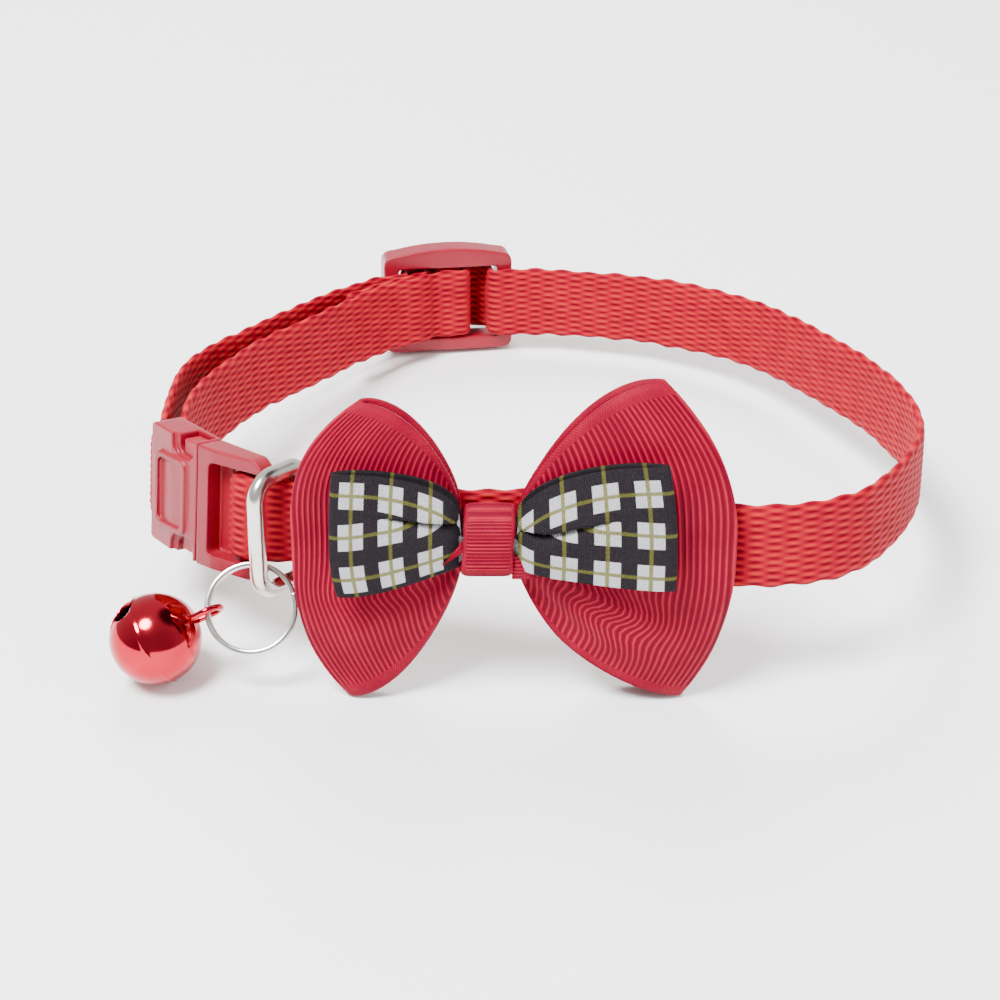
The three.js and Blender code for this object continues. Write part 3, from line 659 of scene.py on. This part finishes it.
def make_socket():
    """The buckle half with the raised panel and the two notches that show the latches."""
    long, deep = FEMALE_LENGTH, 4.2
    plan = [(0, 0.4), (long / 2, -0.1), (long, 0), (long, deep - 0.6), (0.4, deep)]
    body = slab(FEMALE, plan, -HALF, HALF)
    front = rounded((-0.1, long), (-HALF, HALF), (0.9, 0.5, 0.5, 0.9))
    cut(body, slab(FEMALE, front, -2, 6, "y"), "INTERSECT")
    cut(body, box(FEMALE, (-1, 4.2), (0.85, 6.2), (-5.3, 5.3)))
    cut(body, box(FEMALE, (5.7, long + 1), (1.05, 3.15), (-5, 5)))
    bar = FEMALE_BAR
    cut(body, box(FEMALE, (bar["from"], bar["to"]), (bar["near"], bar["far"]), (-5.5, 5.5)), "UNION")
    rim = slab(FEMALE, rounded((1.8, 8), (-4.7, 4.5), (1.2,) * 4), -0.42, 0.6, "y")
    cut(rim, slab(FEMALE, rounded((2.5, 7.3), (-4, 3.8), (0.8,) * 4), -1, 0.08, "y"))
    cut(body, rim, "UNION")
    cut(body, box(FEMALE, (0.75, 0.95), (-1, 0.48), (-8, 8)))
    for side in (-1, 1):
        def span(low, high):
            return (low, high) if side > 0 else (-high, -low)

        def corners(r):
            return (r, r, 0.01, 0.01) if side > 0 else (0.01, 0.01, r, r)

        wide = rounded((5.0, 9.35), span(4.75, 8.5), corners(1.5))
        cut(body, slab(FEMALE, wide, -1, 0.42, "y"))
        deep_part = rounded((5.8, 9.15), span(5.0, 8.5), corners(1.2))
        cut(body, slab(FEMALE, deep_part, -1, 3.15, "y"))
    settle(body, "buckle_socket", FEMALE, 3.3)
    return stand_for(body, "buckle_female", PLASTIC)


def make_plug():
    """The buckle half with the open frame, the strap's bar and the two latch arms."""
    seam = FEMALE_LENGTH + 0.14
    turn = math.radians(MALE["turn"])

    def in_male(x, y):
        du, dv = (np.array(place(FEMALE, x, y)) - MALE["origin"])
        return math.cos(turn) * du + math.sin(turn) * dv, -math.sin(turn) * du + math.cos(turn) * dv

    outline = [in_male(seam, 0), (2.2, -0.1), (9.2, 0.4), (9.2, 2.5), (2, 3.3), in_male(seam, 3.5)]
    body = slab(MALE, outline, -HALF, HALF)
    front = rounded((-9, 9.2), (-HALF, HALF), (0.3, 1.9, 1.9, 0.3))
    cut(body, slab(MALE, front, -3, 6, "y"), "INTERSECT")
    cut(body, slab(MALE, rounded((1.5, 12), (-5.6, 5.6), (0.7, 0.1, 0.1, 0.7)), -2, 6, "y"))
    bar = MALE_BAR
    cut(body, box(MALE, (bar["from"], bar["to"]), (bar["near"], bar["far"]), (-5.9, 5.9)), "UNION")
    cut(body, box(MALE, (1.2, 3.3), (2.2, 3.0), (-5.9, 5.9)), "UNION")
    for side in (-1, 1):
        arm = sorted((side * (LATCH["neck"] - 1.9), side * LATCH["neck"]))
        latch = sorted((side * (LATCH["neck"] - 0.2), side * LATCH["reach"]))
        deep = (LATCH["near"], LATCH["far"])
        cut(body, box(FEMALE, (LATCH["from"], seam + 0.6), deep, arm), "UNION")
        knob = (0.75, LATCH["far"])
        cut(body, box(FEMALE, (LATCH["from"], LATCH["to"]), knob, latch), "UNION")
    settle(body, "buckle_plug", MALE, 2.9)
    return stand_for(body, "buckle_male", PLASTIC)


def make_slider():
    """The slider keeps its solid's shape, with its edges rounded over."""
    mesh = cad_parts["slider"].data.copy()
    mesh.name = "slider_frame"
    piece = bpy.data.objects.new("slider_frame", mesh)
    bpy.context.scene.collection.objects.link(piece)
    moulded(piece, SLIDER_VOXEL, 8)
    return stand_for(piece, "slider", PLASTIC)


make_socket()
make_plug()
make_slider()

# The rings


def make_d_ring():
    depth, top, bottom, front, back = 6.8, 6.2, -7.5, 2.6, 1.0

    def arc(x, y, radius, start, end):
        angles = np.radians(np.linspace(start, end, 14))
        return [(x + radius * math.cos(a), y + radius * math.sin(a)) for a in angles]

    outline = [
        *arc(front, top - front, front, 180, 90), *arc(depth - back, top - back, back, 90, 0),
        *arc(depth - back, bottom + back, back, 0, -90),
        *arc(front, bottom + front, front, -90, -180),
    ]
    line, _ = spaced(np.array(outline + outline[:1]), 0.35)
    turn = math.radians(D_RING["turn"])
    ahead = np.array([math.cos(turn), math.sin(turn), 0])
    foot = np.array([*D_RING["origin"], 0])
    points = foot + line[:-1, :1] * ahead + line[:-1, 1:] * np.array([0, 0, 1])
    across = np.array([-math.sin(turn), math.cos(turn), 0])
    ring = wire_mesh("formed_d_ring", points, across, 1.0, 24, True)
    ring.data.vertices.foreach_set("co", standing(vertex_points(ring)).ravel())
    return stand_for(ring, "d_ring", NICKEL)


SPLIT_RING = {
    "centre": (-28.04, -2.37, 8.79), "radius": 5.01, "yaw": 0.0, "lean": 37.7, "turns": 1.8,
    "start": 92.0, "across": 0.6, "radial": 0.65, "pitch": 0.72,
}
BELL = {
    "radius": 5.25, "reach": 6.8, "heading": 5.0, "ring_angle": 186.0, "loop": 1.6,
    "hole_angle": 76, "hole": 1.4, "slot": 1.25,
}


def split_ring_axes():
    yaw, lean = math.radians(SPLIT_RING["yaw"]), math.radians(SPLIT_RING["lean"])
    right = np.array([math.cos(yaw), math.sin(yaw), 0])
    square = np.cross(right, (0, 0, 1))
    up = math.cos(lean) * np.array([0, 0, 1.0]) - math.sin(lean) * square
    return np.array(SPLIT_RING["centre"]), right, up, np.cross(right, up)


def make_split_ring():
    centre, right, up, axis = split_ring_axes()
    turns, radius = SPLIT_RING["turns"], SPLIT_RING["radius"]
    steps = 260
    share = np.linspace(0, 1, steps + 1)
    angle = np.radians(SPLIT_RING["start"] + turns * 360 * share)
    out = np.cos(angle)[:, None] * right + np.sin(angle)[:, None] * up
    middle = centre + out * radius + axis * (SPLIT_RING["pitch"] * turns * (share - 0.5))[:, None]
    corner = np.linspace(0, 2 * math.pi, 16, endpoint=False)
    flat = np.sign(np.cos(corner)) * np.abs(np.cos(corner)) ** 0.6 * SPLIT_RING["radial"] / 2
    tall = np.sign(np.sin(corner)) * np.abs(np.sin(corner)) ** 0.6 * SPLIT_RING["across"] / 2
    skin = middle[:, None] + out[:, None] * flat[None, :, None] + axis * tall[None, :, None]
    ring = grid_mesh("coiled_split_ring", on_table(skin), wrap_columns=True, caps=True)
    return stand_for(ring, "split_ring", NICKEL)


make_d_ring()
make_split_ring()

# The bell


def bell_place():
    centre, right, up, ring_axis = split_ring_axes()
    angle = math.radians(BELL["ring_angle"])
    out = math.cos(angle) * right + math.sin(angle) * up
    eye = centre + out * SPLIT_RING["radius"]
    rise = eye[2] - BELL["radius"]
    run = math.sqrt(BELL["reach"] ** 2 - rise**2)
    heading = math.radians(BELL["heading"])
    back = np.array([math.cos(heading), math.sin(heading)]) * run
    middle = np.array([eye[0] - back[0], eye[1] - back[1], BELL["radius"]])
    axis = (eye - middle) / np.linalg.norm(eye - middle)
    return eye, middle, axis, np.cross(ring_axis, eye - centre)


def solid(name, build):
    mesh = bpy.data.meshes.new(name)
    work = bmesh.new()
    build(work)
    work.to_mesh(mesh)
    work.free()
    piece = bpy.data.objects.new(name, mesh)
    bpy.context.scene.collection.objects.link(piece)
    return piece


def make_bell():
    eye, middle, axis, along_ring = bell_place()
    radius = BELL["radius"]

    def ball(size):
        return lambda work: bmesh.ops.create_uvsphere(work, u_segments=112, v_segments=90, radius=size)

    shell = cut(solid("round_bell", ball(radius)), solid("inside", ball(radius - 0.45)))
    reach = radius * math.sin(math.radians(BELL["hole_angle"]))

    def slot(work):
        bmesh.ops.create_cube(work, size=1)
        bmesh.ops.scale(work, vec=(2 * reach, BELL["slot"], 6), verts=work.verts)
        bmesh.ops.translate(work, vec=(0, 0, -radius + 1.2), verts=work.verts)

    cut(shell, solid("slot", slot))
    for sign in (-1, 1):
        turn = Matrix.Rotation(sign * math.radians(BELL["hole_angle"]), 4, "Y")

        def hole(work, turn=turn):
            place_at = turn @ Matrix.Translation((0, 0, -radius))
            bmesh.ops.create_cone(
                work, cap_ends=True, segments=32, radius1=BELL["hole"], radius2=BELL["hole"],
                depth=4, matrix=place_at,
            )

        cut(shell, solid("hole", hole))
    slot_up = np.array([0, 0, 1.0]) - axis * axis[2]
    slot_up /= np.linalg.norm(slot_up)
    basis = np.stack([slot_up, np.cross(axis, slot_up), axis], -1)
    points = vertex_points(shell)
    size = np.linalg.norm(points, axis=1)
    near_seam = np.exp(-(points[:, 2] / 0.13) ** 2)
    outer = size > radius - 0.2
    points[outer] *= (1 + 0.022 * near_seam[outer])[:, None]
    shell.data.vertices.foreach_set("co", on_table(points @ basis.T + middle).ravel())
    shell.data.polygons.foreach_set("use_smooth", [True] * len(shell.data.polygons))
    square = along_ring - axis * (along_ring @ axis)
    square /= np.linalg.norm(square)
    side = np.cross(square, axis)
    loop = BELL["loop"]
    angles = np.linspace(-math.pi / 2, math.pi / 2, 25)
    bend = [eye + side * math.sin(a) * loop + axis * math.cos(a) * loop for a in angles]
    legs = BELL["reach"] - radius + 0.2
    foot = [eye + side * sign * loop * 0.8 - axis * legs for sign in (-1, 1)]
    line, _ = spaced(np.array([foot[0], *bend, foot[1]]), 0.25)
    staple = wire_mesh("bell_loop", line, square, 0.36, 14, False)
    staple.data.vertices.foreach_set("co", on_table(vertex_points(staple)).ravel())
    stand_for(shell, "bell", RED_METAL)
    stand_for(staple, "bell", RED_METAL)


make_bell()
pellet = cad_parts["bell_pellet"]
pellet.data.materials.clear()
pellet.data.materials.append(NICKEL)

# The bows

WRAP = {"middle": -1.25, "half": 2.95, "back": -0.6, "front": -8.1, "lower": -2.4, "upper": 4.2}
BIG_BOW = {
    "knot": (0.9, 2.05, -3.05), "gap": 0.65,
    "lobes": [
        {"side": 1, "mid": 25.6, "top": (17.4, 19.3), "low": (20.4, -18.2), "bulge": 2.3,
         "rise": 0.72, "fall": 0.6, "fold_v": -6.4, "tip_v": -4.1, "puff": 1.1, "forward": 1.0,
         "open": 0.75},
        {"side": -1, "mid": 22.7, "top": (14.9, 17.0), "low": (17, -18.2), "bulge": 3,
         "rise": 0.57, "fall": 0.68, "fold_v": -4.3, "tip_v": -4.1, "puff": 1.1, "forward": 1.0},
    ],
}
CHECK_BOW = {
    "knot": (0.9, 2.05, -5.65), "gap": 0.65,
    "lobes": [
        {"side": 1, "mid": 18.9, "top": (17.8, 11.7), "low": (18.9, -2.7), "bulge": 2,
         "rise": 0.4, "fall": 0.53, "fold_v": -9.7, "tip_v": -9.7, "puff": 0.15, "forward": 0.7},
        {"side": -1, "mid": 18.3, "top": (17.8, 10.4), "low": (17.6, -4), "bulge": 2,
         "rise": 0.3, "fall": 1.1, "fold_v": -8.4, "tip_v": -8.4, "puff": 0.15, "forward": 0.6},
    ],
}


def ribbon_points(bow, lobe, along, across, ply, pleat):
    """Points on a ply's middle. along is 0 at the knot and 1 at the fold, across -1 to 1."""
    middle, half, knot_v = bow["knot"]
    top = across > 0
    tip_u = np.where(top, lobe["top"][0], lobe["low"][0])
    tip_w = np.where(top, lobe["top"][1], lobe["low"][1])
    far = lobe["mid"] + (tip_u - lobe["mid"]) * np.abs(across) ** lobe["bulge"]
    start = WRAP["half"] + lobe["side"] * WRAP["middle"]
    u = start + (far - start) * along
    ease = np.where(top, lobe["rise"], lobe["fall"])
    spread = np.sin(along * math.pi / 2) ** ease
    knot_edge = middle + np.sign(across) * half
    edge = knot_edge + (tip_w - knot_edge) * spread
    w = middle + (edge - middle) * np.abs(across)
    fold_v = lobe["fold_v"] + (lobe["tip_v"] - lobe["fold_v"]) * across**2
    centre_v = knot_v + (fold_v - knot_v) * along ** lobe["forward"]
    puffed = np.clip(np.sin(along * math.pi), 0, 1) ** 0.8
    open_by = bow["gap"] + lobe["puff"] * puffed * (1 - 0.5 * across**2)
    v = centre_v + ply * open_by * np.sqrt(np.clip(1 - along**12, 0, 1))
    v = v + pleat(lobe, along, across, ply)
    if "open" in lobe:
        outward = np.clip(np.sin((along - 0.25) / 0.75 * math.pi), 0, 1)
        apart = lobe["open"] * np.clip(-across, 0, 1) ** 8 * outward
        v = v + apart * ply * 0.9
        w = w - apart * ply * np.where(along > 0.25, 1, 0)
    return np.stack([lobe["side"] * u, v, w], -1)


def band(bow, name, along_steps, across_steps, thickness, pleat, texture):
    """The closed band of a bow: front and back plies of both lobes as one skin."""
    walk = np.sin(np.linspace(0, 1, along_steps + 1) * math.pi / 2)
    across = np.linspace(-1, 1, across_steps + 1)
    rows, marks = [], []
    for index, lobe in enumerate(bow["lobes"]):
        first = -1 if index == 0 else 1
        for ply, stations in ((first, walk), (-first, walk[:-1][::-1])):
            for along in stations:
                turned = 0 if along == 1 else ply
                station = np.full_like(across, along)
                rows.append(ribbon_points(bow, lobe, station, across, turned, pleat))
                marks.append((lobe, along))
    middle = np.array(rows)
    ahead = np.roll(middle, -1, 0) - np.roll(middle, 1, 0)
    beside = np.gradient(middle, axis=1)
    normal = np.cross(ahead, beside)
    normal /= np.linalg.norm(normal, axis=-1)[..., None] + 1e-12
    uv = np.array([[texture(lobe, along, c, p) for c, p in zip(across, row)]
                   for (lobe, along), row in zip(marks, middle)])
    swell = relief_of(uv, name)
    outer = middle + normal * (thickness / 2 + swell)[..., None]
    inner = middle - normal * (thickness / 2 + swell * 0.5)[..., None]
    skin = np.concatenate([outer, inner[:, ::-1]], 1)
    uv = np.concatenate([uv, uv[:, ::-1]], 1)
    return grid_mesh(name, standing(skin), uv, wrap_rows=True, wrap_columns=True)


def relief_of(uv, name):
    """The ribs' height on the big bow, up to its selvages. The checked bow has none."""
    if name == "grosgrain_bow":
        inside = np.clip((17.4 - np.abs(uv[..., 1])) / 0.4, 0, 1)
        return 0.055 * np.cos(2 * math.pi * uv[..., 0] / RIB_PITCH) * inside
    return np.zeros(uv.shape[:2])


def bell_curve(x, middle, width):
    return np.exp(-(((x - middle) / width) ** 2))


def big_pleat(lobe, along, across, ply):
    """Gathers at the knot, a hollow under the checked bow, and soft creases under it."""
    near = bell_curve(along, 0, 0.33) * (1 - bell_curve(along, 0, 0.06))
    fan = 0.4 * near * np.cos(across * 9.5 + lobe["side"] * 0.8)
    out = np.clip(np.sin(along * math.pi), 0, 1) ** 0.7
    front = 0.5 - 0.5 * ply
    hollow = 1.0 * bell_curve(across, 0.05, 0.3) * out
    if lobe["side"] < 0:
        flange = -0.75 * bell_curve(across, -0.72 + 0.25 * along, 0.22) * out
        upper = -0.35 * bell_curve(across, 0.62, 0.25) * out
    else:
        flange = -0.7 * bell_curve(across, -0.6 - 0.12 * along, 0.2) * out
        upper = -0.45 * bell_curve(across, 0.6, 0.28) * out
    ripple = 0.12 * np.sin(across * 26 + along * 9) * bell_curve(across, -0.55, 0.25) * out
    return fan + front * (hollow + flange + upper + (ripple if lobe["side"] > 0 else 0))


def check_edges(lobe, along):
    """The heights of the checked band's two edges, in millimetres up the strap's plane."""
    middle, half, _ = CHECK_BOW["knot"]
    spread = np.sin(np.clip(along, 0, 1) * math.pi / 2)
    high, low = middle + half, middle - half
    high = high + (lobe["top"][1] - high) * spread ** lobe["rise"]
    low = low + (lobe["low"][1] - low) * spread ** lobe["fall"]
    return low, high


def crease_height(lobe, along):
    """How high the pinch in the checked bow runs, in millimetres up the strap's plane."""
    if lobe["side"] < 0:
        line = 3.7 + 2.6 * along
    else:
        line = 3.0 + 5 * np.clip(along - 0.18, 0, 1)
    return np.minimum(line, check_edges(lobe, along)[1] - 1)


def check_pleat(lobe, along, across, ply):
    """A sharp pinch runs out from the knot, with the cloth swelling up on both sides of it."""
    middle = CHECK_BOW["knot"][0]
    low, high = check_edges(lobe, along)
    height = middle + (np.where(across > 0, high, low) - middle) * np.abs(across)
    distance = height - crease_height(lobe, along)
    width = 0.5 * np.clip(1 - along, 0, 1) ** 2 + 0.16
    flank = 1 - np.exp(-np.abs(distance) / width)
    fall = np.clip(1 - np.abs(distance) / 6, 0, 1)
    share = np.clip(along / 0.1, 0, 1) * np.clip((0.66 - along) / 0.4, 0, 1)
    roll = np.exp(-np.abs(distance - 0.5) / 0.6) * np.where(distance > 0, 1, 0)
    front = 0.5 - 0.5 * ply
    return front * share * (0.9 * (1 - flank) - 1.3 * flank * fall - 0.5 * roll)


def big_texture(lobe, along, across, point):
    """Ribs are counted from the fold, run parallel to it, and bend where the cloth is creased."""
    far = lobe["mid"]
    count = (1 - along) * far * 1.02
    if lobe["side"] < 0:
        bend = 1.1 * math.exp(-(((across + 0.5 - 0.2 * along) / 0.12) ** 2))
        bend += 0.8 / (1 + math.exp(-(across + 0.42) / 0.05))
    else:
        window = math.exp(-(((across + 0.52) / 0.24) ** 2))
        window *= math.exp(-(((along - 0.45) / 0.28) ** 2))
        bend = 1.5 * window * math.sin(across * 15 + along * 4)
    drift = 0.15 * math.sin(across * 7 + along * 5)
    return (count + bend * math.sin(along * math.pi) + drift, across * 18.7)


def check_texture(lobe, along, across, point):
    low, high = check_edges(lobe, along)
    full = lobe["top"][1] - lobe["low"][1]
    if point[2] > crease_height(lobe, along):
        down = high - point[2]
    else:
        down = full - (point[2] - low)
    length, first_column, first_row = (16.5, 0.05, -0.15) if lobe["side"] < 0 else (18.4, 0.28, 0.4)
    return ((1 - along) * length - first_column, down - first_row)


bow = band(BIG_BOW, "grosgrain_bow", 110, 44, 0.5, big_pleat, big_texture)
stand_for(bow, "bow_ribbon", RIBBON)
checked = band(CHECK_BOW, "checked_bow", 60, 72, 0.4, check_pleat, check_texture)
stand_for(checked, "check_bow", CHECKED)


def make_wrap():
    """The ribbon round the middle of the bows, pulled in a little at its waist."""
    corner = 1.7
    back, front, lower, upper = WRAP["back"], WRAP["front"], WRAP["lower"], WRAP["upper"]
    path = []
    for cv, cw, start in (
        (back - corner, lower + corner, 270), (back - corner, upper - corner, 0),
        (front + corner, upper - corner, 90), (front + corner, lower + corner, 180),
    ):
        for a in np.radians(np.linspace(start, start + 90, 12)):
            path.append((cv + corner * math.cos(a), cw + corner * math.sin(a)))
    line, at = spaced(np.array(path + path[:1]), 0.125)
    line, at = line[:-1], at[:-1]
    ahead = np.roll(line, -1, 0) - np.roll(line, 1, 0)
    ahead /= np.linalg.norm(ahead, axis=1)[:, None]
    out = np.stack([ahead[:, 1], -ahead[:, 0]], -1)
    centre = np.array([(front + back) / 2, (lower + upper) / 2])
    out *= np.sign(((line - centre) * out).sum(1))[:, None]
    across = np.linspace(-1, 1, 33)
    waist = 1 - 0.07 * np.exp(-((line[:, 1] - 1.5) / 2.6) ** 2)
    lean = 0.05 * (line[:, 1] - 1.5)
    u = WRAP["middle"] + lean[:, None] + across[None] * (WRAP["half"] * waist)[:, None]
    relief = 0.07 * np.cos(2 * math.pi * at / 0.5)[:, None] * (np.abs(across) < 0.86)
    edge = 0.5 * np.clip(1 - np.abs(across) ** 8, 0, 1) ** 0.5
    rows = []
    for face in (1, -1):
        off = -0.5 + face * (edge[None] + (relief if face > 0 else 0))
        plan = line[:, None] + out[:, None] * off[..., None]
        skin = np.concatenate([u[..., None], plan], -1)
        rows.append(skin if face > 0 else skin[:, ::-1][:, 1:-1])
    skin = np.concatenate(rows, 1)
    s = np.broadcast_to(at[:, None], skin.shape[:2])
    uv = np.stack([skin[..., 0] - WRAP["middle"] - 0.05 * (skin[..., 2] - 1.5), s], -1)
    wrap = grid_mesh("knot_wrap", standing(skin), uv, wrap_rows=True, wrap_columns=True)
    return stand_for(wrap, "centre_wrap", WRAP_RIBBON)


make_wrap()


def make_ribbon_end(name, corners, crease, thickness):
    """A small loose end of the wrap's ribbon, through four corners, bent along its middle."""
    corners = np.array(corners, float)
    a = np.linspace(0, 1, 13)[:, None, None]
    b = np.linspace(0, 1, 19)[None, :, None]
    near = corners[0] * (1 - b) + corners[1] * b
    far = corners[3] * (1 - b) + corners[2] * b
    sheet = near * (1 - a) + far * a
    sheet[..., 1] -= crease * (np.sin(a * math.pi) * np.sin(b * math.pi))[..., 0]
    sheet[..., 1] += 0.05 * np.cos(b * 40)[..., 0]
    other = sheet + np.array([0, thickness, 0])
    skin = np.concatenate([sheet, other[:, ::-1]], 1)
    uv = np.stack([skin[..., 0], skin[..., 2]], -1)
    piece = grid_mesh(name, standing(skin), uv, wrap_columns=True, caps=True)
    return stand_for(piece, "centre_wrap", WRAP_RIBBON)


make_ribbon_end(
    "ribbon_tip", [(-4.0, -7.6, 0.7), (-4.0, -7.4, 2.1), (-6.1, -8.0, -0.5), (-6.3, -8.0, -0.65)],
    0.15, 0.22,
)
make_ribbon_end(
    "ribbon_fold", [(1.3, -7.2, 0.5), (1.3, -7.2, -2.6), (4.1, -6.7, -2.8), (2.6, -6.9, -0.6)],
    0.45, 0.25,
)

# Camera, floor and light. The camera is the one that was fitted to the photograph.

camera_data = bpy.data.cameras.new("camera")
camera_data.sensor_width = 36
camera_data.lens = 79.2
camera_data.clip_start = 0.01
camera = bpy.data.objects.new("camera", camera_data)
camera.location = Vector((np.array([0, -211.4, 143.6]) + SHIFT) / 1000)
camera.rotation_euler = (math.radians(60), 0, 0)
bpy.context.scene.collection.objects.link(camera)
bpy.context.scene.camera = camera

floor_mesh = bpy.data.meshes.new("floor")
floor_mesh.from_pydata([(-2, -2, 0), (2, -2, 0), (2, 2, 0), (-2, 2, 0)], [], [(0, 1, 2, 3)])
floor = bpy.data.objects.new("floor", floor_mesh)
floor.location.z = cad_box[0][2] - 0.0001
floor_look = Look("floor", (0.95, 0.95, 0.95), 0.9)
floor_mesh.materials.append(floor_look.material)
bpy.context.scene.collection.objects.link(floor)


def area_light(name, position, target, size, power, shines=True):
    """A round lamp aimed at a point. One that doesn't shine leaves no glint in the metal."""
    data = bpy.data.lights.new(name, "AREA")
    data.shape = "DISK"
    data.size = size
    data.energy = power
    light = bpy.data.objects.new(name, data)
    light.location = position
    aim = Vector(target) - Vector(position)
    light.rotation_euler = aim.to_track_quat("-Z", "Y").to_euler()
    light.visible_glossy = shines
    bpy.context.scene.collection.objects.link(light)


area_light("key", (-0.3, -0.3, 0.75), (0, 0, 0), 0.35, 22)
area_light("fill", (0.55, -0.4, 0.45), (0, 0, 0), 0.5, 4, False)
area_light("rim", (-0.1, 0.55, 0.6), (0, 0, 0), 0.4, 8, False)
world = bpy.data.worlds.new("studio")
world.use_nodes = True
sky = world.node_tree
toward = sky.nodes.new("ShaderNodeTexCoord").outputs["Generated"]


def sky_share(direction, start, end, low, high):
    """The sky's strength from low to high, as the view turns towards a direction."""
    dot = sky.nodes.new("ShaderNodeVectorMath")
    dot.operation = "DOT_PRODUCT"
    dot.inputs[1].default_value = direction
    share = sky.nodes.new("ShaderNodeMapRange")
    for index, number in enumerate((start, end, low, high)):
        share.inputs[index + 1].default_value = number
    sky.links.new(toward, dot.inputs[0])
    sky.links.new(dot.outputs["Value"], share.inputs[0])
    return share.outputs[0]


# One patch of the sky is dark, for the metal to reflect, and the sky is brighter behind.
product = sky.nodes.new("ShaderNodeMath")
product.operation = "MULTIPLY"
sky.links.new(sky_share((0.52, 0.18, 0.83), 0.88, 0.95, 1.0, 0.08), product.inputs[0])
sky.links.new(sky_share((0, 1, 0), -0.7, 0.7, 0.5, 1.1), product.inputs[1])
sky.links.new(product.outputs[0], sky.nodes["Background"].inputs[1])
sky.nodes["Background"].inputs[0].default_value = (1, 1, 1, 1)
bpy.context.scene.world = world
